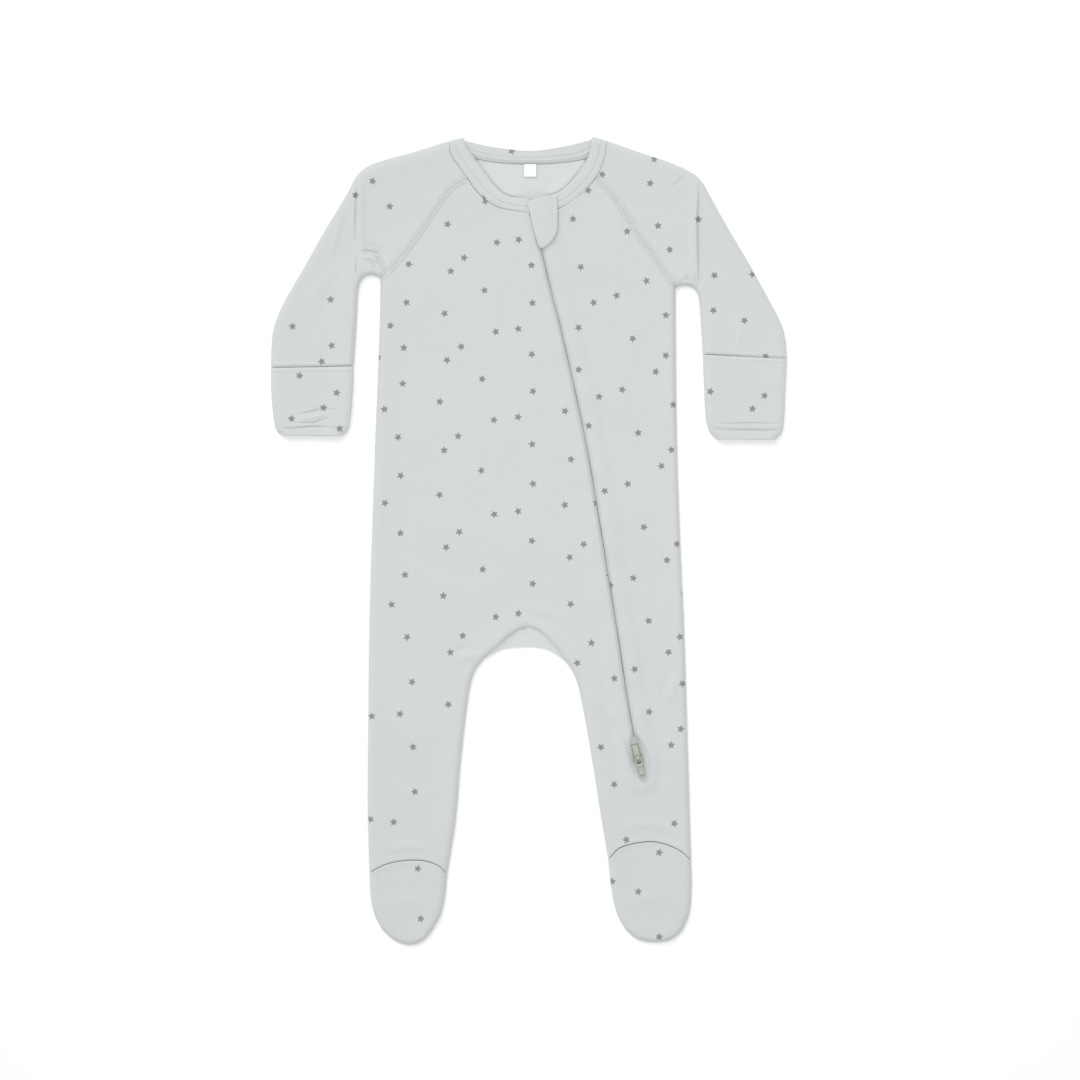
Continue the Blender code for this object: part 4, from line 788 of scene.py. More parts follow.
def print_stars(origin, turn=0.0, chart=STAR_CHART, repeat=STAR_REPEAT, lean=0.0):
    """Places of all the stars on a piece: x, y in mm and turn in radians."""
    stars = []
    c, s = math.cos(math.radians(turn)), math.sin(math.radians(turn))
    columns = math.ceil(PRINT_REACH / repeat[0])
    lines = math.ceil(PRINT_REACH / repeat[1])
    for i in range(-columns, columns + 1):
        for j in range(-lines, lines + 1):
            for number, (x, y) in enumerate(chart):
                u, v = x + i * repeat[0] + j * lean, y + j * repeat[1]
                spin = math.radians(STAR_TURN * (number + 3 * i + 5 * j) % STAR_FIFTH)
                stars.append((origin[0] + c * u - s * v, origin[1] + s * u + c * v, spin))
    return np.array(stars)


def drawn(stars, origin, table):
    """The same on the front, whose cloth lies a little drawn."""
    heights, places, widths = np.array(table).T
    on_print = stars[:, 1] - origin[1]
    width = np.interp(on_print, heights, widths)
    moved = stars.copy()
    moved[:, 0] = DRAWN_MIDDLE + (stars[:, 0] - DRAWN_MIDDLE) * width
    moved[:, 1] = np.interp(on_print, heights, places)
    return moved


def mended(stars, shown):
    """The same without the stars that are lost, and with those that show in their stead."""
    gaps = np.linalg.norm(stars[:, None, :2] - np.array(STARS_LOST), axis=-1).min(axis=1)
    return np.concatenate((stars[gaps > STARS_LOST_REACH], np.array(shown)))


# ---------------------------------------------------------------- meshes

def lay_grid(bm, points, cloth=None, cut=0, outward=1):
    """Add a grid of points[row, column] in mm, which faces up where outward is 1.

    cloth holds where each point is on the flat cloth and how much painted shade beside the
    zip's slit it takes there, and cut says which stretch of the print the piece was cut from."""
    rows, columns = points.shape[:2]
    if cloth is None:
        cloth = points[..., :2]
    if cloth.shape[-1] == 2:
        cloth = standing(cloth, np.zeros(cloth.shape[:-1]))
    made = bmesh.ops.create_grid(bm, x_segments=columns - 1, y_segments=rows - 1, size=1.0)["verts"]
    place = bm.verts.layers.float_vector["cloth"]
    for vert in made:
        i = round((vert.co.x + 1) / 2 * (columns - 1))
        j = round((vert.co.y + 1) / 2 * (rows - 1))
        vert.co = points[j, i] * MM
        vert[place] = cloth[j, i] * MM
    faces = list({face for vert in made for face in vert.link_faces})
    for face in faces:
        face[bm.faces.layers.int["cut"]] = cut
    across, down = points[0, 1] - points[0, 0], points[1, 0] - points[0, 0]
    if (across[0] * down[1] - across[1] * down[0]) * outward < 0:
        bmesh.ops.reverse_faces(bm, faces=faces)


def new_cloth():
    bm = bmesh.new()
    bm.verts.layers.float_vector.new("cloth")
    bm.faces.layers.int.new("cut")
    return bm


def object_from(bm, name, materials):
    mesh = bpy.data.meshes.new(name)
    bm.to_mesh(mesh)
    bm.free()
    mesh.shade_smooth()
    obj = bpy.data.objects.new(name, mesh)
    bpy.context.collection.objects.link(obj)
    for material in materials:
        mesh.materials.append(material)
    return obj


def thicken(obj, name, thickness, offset):
    """Give a surface a wall: towards its inner side at offset -1, evenly to both at 0."""
    wall = obj.modifiers.new(name, "SOLIDIFY")
    wall.thickness = thickness
    wall.offset = offset
    return wall


def print_on(mesh, prints):
    """Give each face the place and turn of the star nearest to it on the flat cloth."""
    count = len(mesh.polygons)
    cloth = np.empty(len(mesh.vertices) * 3, np.float32)
    mesh.attributes["cloth"].data.foreach_get("vector", cloth)
    corners = np.empty(len(mesh.loops), np.int32)
    mesh.loops.foreach_get("vertex_index", corners)
    starts = np.empty(count, np.int32)
    mesh.polygons.foreach_get("loop_start", starts)
    sums = np.add.reduceat(cloth.reshape(-1, 3)[corners, :2], starts, axis=0)
    sizes = np.diff(np.append(starts, len(corners)))
    middles = sums / sizes[:, None] / MM
    cuts = np.empty(count, np.int32)
    mesh.attributes["cut"].data.foreach_get("value", cuts)
    found = np.zeros((count, 3), np.float32)
    for cut, stars in enumerate(prints):
        faces = np.flatnonzero(cuts == cut)
        for part in np.array_split(faces, max(1, len(faces) // 4000)):
            gaps = ((middles[part, None] - stars[None, :, :2]) ** 2).sum(-1)
            found[part] = stars[gaps.argmin(1)] * (MM, MM, 1.0)
    attribute = mesh.attributes.new("star", "FLOAT_VECTOR", "FACE")
    attribute.data.foreach_set("vector", found.ravel())


def finish_cloth(bm, name, node, prints, wall=None, inside=True):
    """Weld a sheet's patches, print it and give it its thickness towards the inner side."""
    bmesh.ops.remove_doubles(bm, verts=bm.verts, dist=0.02 * MM)
    for edge in bm.edges:
        edge.smooth = not edge.is_boundary      # so that the cut edges don't darken the seams
    sizes = bpy.context.scene.sleepsuit_sizes
    materials = [jersey_outside(), jersey_inside() if inside else jersey_outside()]
    obj = object_from(bm, name, materials)
    print_on(obj.data, prints)
    layer = thicken(obj, "jersey", sizes.wall if wall is None else wall * MM, -1.0)
    layer.material_offset = 1
    layer.use_quality_normals = True
    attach(obj, "garment")
    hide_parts(node)
    return obj


# ---------------------------------------------------------------- materials

def node(tree, kind, inputs=(), **settings):
    """Add a shader node with its settings; an input that is a socket is linked."""
    new = tree.nodes.new("ShaderNode" + kind)
    for name, value in settings.items():
        setattr(new, name, value)
    for key, value in dict(inputs).items():
        if isinstance(value, bpy.types.NodeSocket):
            tree.links.new(value, new.inputs[key])
        else:
            new.inputs[key].default_value = value
    return new


def maths(tree, operation, *values):
    return node(tree, "Math", dict(enumerate(values)), operation=operation).outputs[0]


def blend_colours(tree, share, first, second):
    """The first colour, with a share of the second one over it."""
    return node(tree, "Mix", {0: share, 6: first, 7: second}, data_type="RGBA").outputs[2]


def darker(colour, share):
    """The colour at a share of its brightness, opaque."""
    return [c * share for c in colour[:3]] + [1.0]


def object_place(tree):
    """Where a point of the piece is, in metres, from the frame's origin."""
    return node(tree, "TexCoord").outputs["Object"]


def finish_surface(tree, shader, colour, height, strength, depth):
    """Link the surface's colour, and the relief of a height from 0 to 1, which is depth mm deep."""
    relief = node(tree, "Bump", {"Height": height, "Strength": strength, "Distance": depth * MM})
    tree.links.new(relief.outputs[0], shader.inputs["Normal"])
    tree.links.new(colour, shader.inputs["Base Color"])


def new_material(name, **shader_values):
    """A material of that name with its shader's plain values set."""
    material = bpy.data.materials.new(name)
    material.use_nodes = True
    tree = material.node_tree
    shader = tree.nodes["Principled BSDF"]
    for socket, value in shader_values.items():
        shader.inputs[socket.replace("_", " ")].default_value = value
    return material, tree, shader


def star_share(tree, place, noise):
    """1 inside a printed five-pointed star, from the star nearest to each face."""
    star = node(tree, "Attribute", attribute_name="star").outputs["Vector"]
    centre = node(tree, "SeparateXYZ", {0: star})
    here = node(tree, "SeparateXYZ", {0: place})
    x = maths(tree, "SUBTRACT", here.outputs[0], centre.outputs[0])
    y = maths(tree, "SUBTRACT", here.outputs[1], centre.outputs[1])
    angle = maths(tree, "ADD", maths(tree, "ARCTAN2", y, x), centre.outputs[2])
    fifth = math.pi / 5
    folded = maths(tree, "PINGPONG", angle, fifth)
    # the straight edge from a point of the star to the notch beside it, at about half the radius
    notch = 0.52
    size = bpy.context.scene.sleepsuit_sizes.star
    far = maths(tree, "SINE", folded)
    close = maths(tree, "MULTIPLY", maths(tree, "SINE", maths(tree, "SUBTRACT", fifth, folded)), notch)
    edge = maths(tree, "DIVIDE", size * notch * math.sin(fifth), maths(tree, "ADD", far, close))
    wobble = maths(tree, "MULTIPLY", maths(tree, "SUBTRACT", noise, 0.5), STAR_WOBBLE * MM)
    edge = maths(tree, "ADD", edge, wobble)
    squares = maths(tree, "ADD", maths(tree, "POWER", x, 2.0), maths(tree, "POWER", y, 2.0))
    inside = maths(tree, "SUBTRACT", edge, maths(tree, "SQRT", squares))
    soft = node(
        tree, "MapRange", {"Value": inside, "From Min": -STAR_BLEED * MM, "From Max": STAR_BLEED * MM},
        interpolation_type="SMOOTHSTEP",
    )
    return soft.outputs["Result"]


def knit(tree, place, wale):
    """Height of a plain knit's columns of small V-shaped loops, from 0 to 1."""
    here = node(tree, "SeparateXYZ", {0: place})
    turns = 2 * math.pi / wale
    across = maths(tree, "SINE", maths(tree, "MULTIPLY", here.outputs[0], turns / 2))
    column = maths(tree, "ABSOLUTE", across)
    # the loops are a little closer than the columns, and their legs slant up to each side
    rise = maths(tree, "MULTIPLY", here.outputs[1], turns * 1.3)
    loops = maths(tree, "SINE", maths(tree, "ADD", rise, maths(tree, "MULTIPLY", column, 2.4)))
    columns_share = maths(tree, "MULTIPLY", column, 0.75)
    return maths(tree, "ADD", maths(tree, "MULTIPLY", loops, 0.25), columns_share)


def jersey(name, colour, printed):
    """Cotton jersey, knitted fine and brushed soft: matt, with a short pale nap at grazing angles.

    Its wales are 0.8 mm apart in fact and drawn 1.3 mm apart, as finer ones would not show."""
    if name in bpy.data.materials:
        return bpy.data.materials[name]
    sizes = bpy.context.scene.sleepsuit_sizes
    colours = bpy.context.scene.sleepsuit_colours
    material, tree, shader = new_material(
        name, Roughness=0.93, IOR=1.45, Specular_IOR_Level=0.25, Sheen_Weight=0.25,
        Sheen_Roughness=0.45, Sheen_Tint=(0.96, 0.98, 0.98, 1.0),
    )
    place = node(tree, "Attribute", attribute_name="cloth").outputs["Vector"]
    # clouds 45 mm across, and slubs of the yarn 1.1 mm across
    mottle = node(tree, "TexNoise", {"Vector": place, "Scale": 22.0, "Detail": 4.0, "Roughness": 0.6})
    slub = node(tree, "TexNoise", {"Vector": place, "Scale": 900.0, "Detail": 2.0})
    loops = knit(tree, place, sizes.wale)
    clouds = maths(tree, "MULTIPLY", mottle.outputs[0], 0.08)
    ground = blend_colours(tree, clouds, colour, darker(colour, 0.80))
    gaps = maths(tree, "MULTIPLY", maths(tree, "SUBTRACT", 1.0, loops), 0.05)
    ground = blend_colours(tree, gaps, ground, darker(colour, 0.55))
    if printed:
        # painted shade: the cloth beside the zip's slit is darkened, a little greenish, towards the
        # slit, for the shade in its groove
        shown = node(tree, "SeparateXYZ", {0: place}).outputs[2]
        share = maths(tree, "MULTIPLY", shown, SLIT_SHADE_SHARE / MM)
        slit_shade_colour = [c * tint for c, tint in zip(colour, SLIT_SHADE_TINT)] + [1.0]
        ground = blend_colours(tree, share, ground, slit_shade_colour)
        stars = star_share(tree, place, slub.outputs[0])
        # the ink sits on the loops and misses a little of the gaps between them
        inked = maths(tree, "ADD", 0.80, maths(tree, "MULTIPLY", loops, 0.2))
        ground = blend_colours(tree, maths(tree, "MULTIPLY", stars, inked), ground, list(colours.star))
    knitted = maths(tree, "MULTIPLY", loops, 0.8)
    height = maths(tree, "ADD", knitted, maths(tree, "MULTIPLY", slub.outputs[0], 0.35))
    finish_surface(tree, shader, ground, height, 0.55, 0.12)
    return material


def jersey_outside():
    return jersey("cotton_jersey_printed", list(bpy.context.scene.sleepsuit_colours.jersey), True)


def jersey_inside():
    return jersey("cotton_jersey_inner_face", list(bpy.context.scene.sleepsuit_colours.inside), False)


def sewing_thread():
    """Spun polyester thread, two plies twisted: satin, a shade darker than the cloth."""
    if "spun_polyester_thread" in bpy.data.materials:
        return bpy.data.materials["spun_polyester_thread"]
    material, tree, shader = new_material(
        "spun_polyester_thread", Roughness=0.62, IOR=1.5, Sheen_Weight=0.2, Sheen_Roughness=0.4,
    )
    # turns of the twist are 0.5 mm apart in fact and drawn 0.85 mm apart, as finer would not show
    twist = node(
        tree, "TexWave", {"Vector": object_place(tree), "Scale": 520.0, "Distortion": 1.5},
        bands_direction="DIAGONAL",
    ).outputs["Fac"]
    colour = list(bpy.context.scene.sleepsuit_colours.thread)
    shade = blend_colours(tree, maths(tree, "MULTIPLY", twist, 0.2), colour, darker(colour, 0.6))
    finish_surface(tree, shader, shade, twist, 0.4, 0.06)
    return material


def zip_tape_weave():
    """Woven polyester tape: a fine twill, satin and a little greener than the jersey."""
    material, tree, shader = new_material(
        "woven_polyester_tape", Roughness=0.7, IOR=1.5, Sheen_Weight=0.15, Sheen_Roughness=0.4,
    )
    # the twill's ribs are 0.5 mm apart in fact and drawn 1.1 mm apart, as finer ones would not show
    ribs = node(
        tree, "TexWave", {"Vector": object_place(tree), "Scale": 390.0, "Distortion": 0.6},
        bands_direction="DIAGONAL",
    ).outputs["Fac"]
    colour = list(bpy.context.scene.sleepsuit_colours.tape)
    shade = blend_colours(tree, maths(tree, "MULTIPLY", ribs, 0.4), colour, darker(colour, 0.66))
    finish_surface(tree, shader, shade, ribs, 0.5, 0.1)
    return material


def zip_nylon():
    """Nylon monofilament wound into a coil and dyed: smooth, with a soft gloss."""
    material, tree, shader = new_material("nylon_coil", Roughness=0.42, IOR=1.53, Coat_Weight=0.1)
    # uneven dye, in patches 4 mm across
    dye = node(tree, "TexNoise", {"Vector": object_place(tree), "Scale": 260.0, "Detail": 2.0})
    colour = list(bpy.context.scene.sleepsuit_colours.coil)
    patches = maths(tree, "MULTIPLY", dye.outputs[0], 0.3)
    shade = blend_colours(tree, patches, colour, darker(colour, 0.75))
    tree.links.new(shade, shader.inputs["Base Color"])
    return material


def nickel_plate():
    """Zinc casting, tumbled and nickel plated: dull metal, brighter where it was rubbed."""
    if "tumbled_nickel_plate" in bpy.data.materials:
        return bpy.data.materials["tumbled_nickel_plate"]
    material, tree, shader = new_material("tumbled_nickel_plate", Metallic=1.0)
    place = object_place(tree)
    # rubbed patches 2.4 mm across, and the tumbling's scratches 0.5 mm across
    rub = node(tree, "TexNoise", {"Vector": place, "Scale": 420.0, "Detail": 5.0, "Roughness": 0.65})
    scratches = node(tree, "TexNoise", {"Vector": place, "Scale": 1900.0, "Detail": 3.0})
    rough = node(tree, "MapRange", {"Value": rub.outputs[0], "To Min": 0.5, "To Max": 0.66})
    tree.links.new(rough.outputs[0], shader.inputs["Roughness"])
    colour = list(bpy.context.scene.sleepsuit_colours.metal)
    dulled = maths(tree, "MULTIPLY", rub.outputs[0], 0.5)
    shade = blend_colours(tree, dulled, colour, darker(colour, 0.72))
    finish_surface(tree, shader, shade, scratches.outputs[0], 0.25, 0.05)
    return material


def satin_ribbon():
    """Woven satin ribbon, left blank: white, with a sheen across its fine ribs."""
    material, tree, shader = new_material(
        "white_satin_ribbon", Roughness=0.5, IOR=1.5, Sheen_Weight=0.3, Sheen_Roughness=0.3,
    )
    # ribs are drawn 0.7 mm apart, as the real 0.2 mm would not show
    ribs = node(
        tree, "TexWave", {"Vector": object_place(tree), "Scale": 450.0, "Distortion": 0.3},
        bands_direction="Y",
    ).outputs["Fac"]
    colour = list(bpy.context.scene.sleepsuit_colours.label)
    shade = blend_colours(tree, maths(tree, "MULTIPLY", ribs, 0.12), colour, darker(colour, 0.8))
    finish_surface(tree, shader, shade, ribs, 0.3, 0.05)
    return material


def studio_floor():
    """Matt white board, faintly mottled, for the suit to lie on."""
    material, tree, shader = new_material("matt_white_board", Roughness=0.9, Specular_IOR_Level=0.1)
    mottle = node(tree, "TexNoise", {"Vector": object_place(tree), "Scale": 6.0, "Detail": 3.0})
    shade = blend_colours(tree, mottle.outputs[0], hex_colour("#FEFEFE"), hex_colour("#FCFCFC"))
    tree.links.new(shade, shader.inputs["Base Color"])
    return material


# ---------------------------------------------------------------- cloth pieces

PRINT_ORIGIN = (-30.2, 54.7)
PRINT_ORIGIN_BESIDE_ZIP = (67.0, 87.8)
PRINT_ORIGIN_BACK = (12.0, 20.0)
WHOLE_PIECE = (0.0, 0.0)
NO_STARS = np.array(((1000.0, 1000.0, 0.0),))       # a plain stretch of the print
BODY_ROWS = rows_between(
    (FIRST_ROW, 0.06, 2, 6, 7, 8, SLIT_ROW, SLIT_END_ROW, 9.94, 10),
    (3, 44, 124, 40, 30, 6, 7, 38, 3),
)
BACK_ROWS = rows_between((FIRST_ROW, 0.9, 2, 6, 7, HEEL_ROW), (64, 14, 70, 26, 50))
SLEEVE_ROWS = rows_between((FIRST_ROW, 0.08, 4, 6, 9.88, 10), (3, 66, 50, 44, 6))
CUFF_ROWS = rows_between((0.0, 0.08, 0.6, 1.0), (8, 22, 60))
TOE_ROWS = rows_between((FIRST_ROW, 0.08, 0.8, 1.0), (4, 26, 18))
SOLE_ROWS = rows_between((HEEL_ROW + FIRST_ROW, 10, 11), (8, 30))


def make_front():
    """Three patches: the right half with its leg, the middle, and the left half beyond the zip."""
    half = SEAM_GAP / 2
    patches = (
        (
            lambda rows: along((RAGLAN_RIGHT, SIDE_RIGHT), rows, (half, 0.0)),
            lambda rows: along((FRONT_LINE, INSEAM_RIGHT), rows, (0.0, 0.0)),
            stretch(NECK_SEAM_RIGHT, 1, 2, -SEAM_GAP), stretch(INSTEP_RIGHT, 0, 1),
            (SEAM_LINES, 30, ROLL_LINES), 0,
        ),
        (
            lambda rows: along((FRONT_LINE, INSEAM_LEFT), rows, (0.0, 0.0)),
            lambda rows: beside(ZIP_LINE, rows, np.where(rows < SLIT_END_ROW, -SLIT_HALF, 0.0)),
            stretch(NECK_SEAM_RIGHT, 2, 3, -SEAM_GAP), stretch(INSTEP_LEFT, 0, ZIP_AT_INSTEP),
            (ROLL_LINES, 18, SLIT_LINES), 0,
        ),
        (
            lambda rows: beside(ZIP_LINE, rows, np.where(rows < SLIT_END_ROW, SLIT_HALF, 0.0)),
            lambda rows: along((RAGLAN_LEFT, SIDE_LEFT), rows, (-half, 0.0)),
            stretch(NECK_SEAM_LEFT, 3, 1, SEAM_GAP), stretch(INSTEP_LEFT, ZIP_AT_INSTEP, 1),
            (SLIT_LINES, 22, SEAM_LINES), 1,
        ),
    )
    bm = new_cloth()
    for left, right, first, last, across, cut in patches:
        plan = panel(BODY_ROWS, left, right, first, last, across)
        zip_distance, zip_share = near(plan, ZIP_PATH)
        # painted shade beside the zip's slit, full at the slit and fading away from it, kept in the
        # cloth attribute's third value
        slit_shade = fade(zip_distance, *SLIT_SHADE_FADE) * (zip_share < SLIT_END_SHARE)
        lay_grid(bm, standing(plan, upper(plan)), standing(plan, slit_shade), cut=cut)
    beside_zip = print_stars(
        PRINT_ORIGIN_BESIDE_ZIP, 0.0, STAR_CHART_BESIDE_ZIP, STAR_REPEAT_BESIDE_ZIP,
        STAR_LEAN_BESIDE_ZIP,
    )
    prints = (
        mended(drawn(print_stars(PRINT_ORIGIN), PRINT_ORIGIN, DRAWN), STARS_SHOWN),
        mended(drawn(beside_zip, PRINT_ORIGIN_BESIDE_ZIP, DRAWN_BESIDE_ZIP), STARS_SHOWN_BESIDE_ZIP),
    )
    obj = finish_cloth(bm, "front_panel", "front", prints)


def heel(table_outer, table_inner):
    """Curve of the heel seam, from the outer to the inner edge of a leg."""
    start, end = curve(table_outer, np.array(HEEL_ROW)), curve(table_inner, np.array(HEEL_ROW))

    def edge(t):
        t = np.asarray(t, float)[..., None]
        return start + (end - start) * t + np.concatenate((0 * t, HEEL_RISE * np.sin(np.pi * t)), -1)
    return edge


def make_back():
    """Two patches that meet at the middle line and lie flat, outer side down."""
    half = SEAM_GAP / 2
    patches = (
        (
            lambda rows: along((BACK_RAGLAN_RIGHT, SIDE_RIGHT), rows, (half, 0.0)),
            lambda rows: along((BACK_LINE, BACK_INSEAM_RIGHT), rows, (0.0, 0.0)),
            stretch(BACK_NECK_SEAM, 1, 2, -SEAM_GAP), heel(SIDE_RIGHT, INSEAM_RIGHT),
            (ROLL_LINES, 36, ROLL_LINES),
        ),
        (
            lambda rows: along((BACK_LINE, BACK_INSEAM_LEFT), rows, (0.0, 0.0)),
            lambda rows: along((BACK_RAGLAN_LEFT, SIDE_LEFT), rows, (-half, 0.0)),
            stretch(BACK_NECK_SEAM, 2, 3, -SEAM_GAP), heel(INSEAM_LEFT, SIDE_LEFT),
            (ROLL_LINES, 36, ROLL_LINES),
        ),
    )
    bm = new_cloth()
    for left, right, first, last, across in patches:
        plan = panel(BACK_ROWS, left, right, first, last, across)
        lay_grid(bm, standing(plan, lower(plan) + neck_roll(plan)), outward=-1)
    prints = (print_stars(PRINT_ORIGIN_BACK, 180.0),)
    obj = finish_cloth(bm, "back_panel", "back", prints, wall=BACK_WALL)


def round_fold(top, outward, low_z):
    """Points round a fold, from the upper layer down to the lower one, row by row."""
    angle = np.pi * np.arange(1, ROLL_STEPS) / ROLL_STEPS
    plan = top[:, None, :2] + outward[:, None] * (FOLD_RADIUS * np.sin(angle))[:, None]
    heights = low_z + (top[:, None, 2] - low_z) * (1 + np.cos(angle)) / 2
    return standing(plan, heights)


def unit(vectors):
    return vectors / np.linalg.norm(vectors, axis=-1, keepdims=True)


def past_fold(plan, line, outward, around):
    """Where the lower layer's points are on the flat cloth, past the fold."""
    inward = ((plan - line[:, None]) * outward[:, None]).sum(-1)[..., None]
    return plan + outward[:, None] * (around - 2 * inward)


def make_sleeve(name, node_name, side, tables, stars):
    """One piece of cloth: upper layer, round fold along the outer edge, lower layer."""
    fold, raglan, back_raglan, underarm, neck, back_neck = tables
    half = -side * SEAM_GAP / 2

    def fold_line(rows):
        return beside(fold, rows, side * FOLD_RADIUS)

    def seam(front, rows):
        halved = tuple((row * 2, x, y) for row, x, y in front)
        return along((halved, underarm), rows, (half, 0.0))

    rows = SLEEVE_ROWS
    above = panel(
        rows, lambda r: seam(raglan, r), fold_line,
        stretch(neck, 1, 0, -side * SEAM_GAP), None, (SEAM_LINES, 96, ROLL_LINES),
    )
    below = panel(
        rows, fold_line, lambda r: seam(back_raglan, r),
        stretch(*back_neck, -SEAM_GAP), None, (ROLL_LINES, 14, SEAM_LINES),
    )
    top = standing(above, upper(above))
    outward = unit(curve(fold, rows) - fold_line(rows))
    grid = np.concatenate(
        (top, round_fold(top[:, -1], outward, 0.0), standing(below, lower(below))), axis=1,
    )
    around = np.pi * FOLD_RADIUS
    steps = around * np.arange(1, ROLL_STEPS) / ROLL_STEPS
    roll_cloth = above[:, -1:] + outward[:, None] * steps[:, None]
    cloth = np.concatenate((above, roll_cloth, past_fold(below, above[:, -1], outward, around)), axis=1)
    bm = new_cloth()
    lay_grid(bm, grid, cloth)
    obj = finish_cloth(bm, name, node_name, (stars,))


def make_cuff(name, node_name, inner, outer, stars):
    """Flattened tube, folded along both edges, with a turned hem at its open end."""
    start, end = curve(inner, CUFF_ROWS), curve(outer, CUFF_ROWS)
    way = unit(end - start)
    width = np.linalg.norm(end - start, axis=1)[:, None] - 2 * FOLD_RADIUS
    u = fractions(width, ROLL_LINES, 26, ROLL_LINES)
    plan = start[:, None] + way[:, None] * (FOLD_RADIUS + width * u)[..., None]
    length = np.linalg.norm(start[-1] - start[0])
    hem = HEM_LIFT * fade((1 - CUFF_ROWS) * length, HEM_DEPTH - HEM_STEP, HEM_DEPTH)
    top = standing(plan, upper(plan) + hem[:, None])
    low = standing(plan, lower(plan))[:, ::-1]
    out_fold = round_fold(top[:, -1], way, 0.0)
    in_fold = round_fold(top[:, 0], -way, 0.0)[:, ::-1]
    grid = np.concatenate((top, out_fold, low, in_fold, top[:, :1]), axis=1)
    bm = new_cloth()
    lay_grid(bm, grid)
    obj = finish_cloth(bm, name, node_name, (stars,))


def make_foot(side, edges, tip, instep, stars):
    """Upper foot piece below the instep seam, and the sole that it lies on."""
    outer, toe_outer, inner, toe_inner = edges
    plan = panel(
        TOE_ROWS, lambda r: curve(toe_outer, r), lambda r: curve(toe_inner, r),
        lambda t: instep(t) - (0.0, SEAM_GAP), tip, (ROLL_LINES, 24, ROLL_LINES),
    )
    bm = new_cloth()
    lay_grid(bm, standing(plan, upper(plan)))
    foot = finish_cloth(bm, "foot_top_" + side, "foot_" + side, (stars,))

    def edge(leg, toe):
        shifted = tuple((row + 10, x, y) for row, x, y in toe)
        return lambda rows: along((leg, shifted), rows, (0.0, 0.0))

    seam = heel(outer, inner)
    plan = panel(
        SOLE_ROWS, edge(outer, toe_outer), edge(inner, toe_inner),
        lambda t: seam(t) - (0.0, SEAM_GAP), tip, (ROLL_LINES, 18, ROLL_LINES),
    )
    bm = new_cloth()
    lay_grid(bm, standing(plan, lower(plan)), outward=-1)
    sole = finish_cloth(bm, "foot_sole_" + side, "sole_" + side, (stars,), wall=BACK_WALL)


def band_height(share):
    """Section of the doubled binding: full between its two stitch lines, turned in at its edges."""
    across = share * BINDING_WIDTH
    rise = BINDING_LIFT + BINDING_CROWN * np.sin(np.pi * np.clip(share, 0, 1)) ** 0.5
    for line, dip in zip(BINDING_STITCHES, BINDING_DIPS):
        rise -= dip * bump(np.abs(across - line), BINDING_DIP_HALF)
    return rise - 0.1 * fade(across, 0.0, 0.8) - 0.8 * fade(BINDING_WIDTH - across, 0.0, 1.0)


def inner_band_height(share):
    """The band behind stands a little off the surface, but for its needle line."""
    across = share * BINDING_WIDTH
    dip = 1 - bump(np.abs(across - BINDING_STITCHES[1]), BINDING_DIP_HALF)
    return BACK_BAND_LIFT * (1 - fade(across, 0.0, BACK_BAND_REACH)) * dip


def binding_line(seam, free, rows, share):
    return curve(seam, rows) * (1 - share) + curve(free, rows) * share


def make_binding():
    """Doubled band round the neck, folded at both shoulders and parted at the zip."""
    shares = rows_between((0.0, 0.12, 0.9, 1.0), (6, 20, 8))
    front_rows, back_rows = np.linspace(0.0, 3.0, 90), np.linspace(0.0, 4.0, 110)
    lines = []
    for share in shares:
        right = binding_line(NECK_SEAM_RIGHT, NECK_FREE_RIGHT, front_rows[::-1], share)
        left = binding_line(NECK_SEAM_LEFT, NECK_FREE_LEFT, front_rows, share)
        behind = binding_line(BACK_NECK_SEAM, BACK_NECK_FREE, back_rows, share)
        rise = band_height(share)
        above_right = standing(right, upper(right, False) + rise)
        above_left = standing(left, upper(left, False) + rise)
        # behind, the band rests on the surface and shows its inner side
        below = standing(behind, inner_band_height(share) + neck_roll(behind))
        fold_right = round_fold(above_right[-1:], shoulder_outward(FOLD_RIGHT), 0.0)[0]
        fold_left = round_fold(above_left[:1], shoulder_outward(FOLD_LEFT), 0.0)[0][::-1]
        lines.append(np.concatenate((above_right, fold_right, below, fold_left, above_left)))
    bm = new_cloth()
    lay_grid(bm, np.stack(lines))
    prints = (print_stars(WHOLE_PIECE, 0.0, STARS_NECK_BAND, FAR_REPEAT),)
    obj = finish_cloth(bm, "neck_band", "neck_binding", prints, BAND_THICK, False)


def shoulder_outward(fold):
    """Direction in plan, away from the neck, at the shoulder end of a fold."""
    way = unit(curve(fold, np.array([0.0])) - curve(fold, np.array([-0.4])))
    return np.stack((-way[:, 1], way[:, 0]), -1) * np.sign(way[:, :1])


def make_guard():
    """Chin guard: a small doubled flap over the top of the zip, sewn down along its left edge."""
    plan = panel(
        np.linspace(0.0, 1.0, 44),
        lambda r: curve(GUARD_LEFT_EDGE, r), lambda r: curve(GUARD_RIGHT_EDGE, r),
        stretch(GUARD_TOP_EDGE, 0, 1), stretch(GUARD_TIP_EDGE, 0, 1), (GUARD_LINES, 18, GUARD_LINES),
    )
    outline = np.concatenate((plan[:, 0], plan[-1, 1:], plan[-2::-1, -1], plan[0, -2::-1]))
    edge = near(plan, outline)[0]
    soft = np.sqrt(1 - (1 - np.clip(edge / GUARD_ROUNDING, 0, 1)) ** 2)
    top = upper(plan, False) + GUARD_LIFT + GUARD_WALL - GUARD_EDGE_DROP * (1.0 - soft)
    bm = new_cloth()
    lay_grid(bm, standing(plan, top))
    obj = finish_cloth(bm, "chin_guard", "zip_guard", (NO_STARS,), GUARD_THICK, False)


# ---------------------------------------------------------------- zip and label

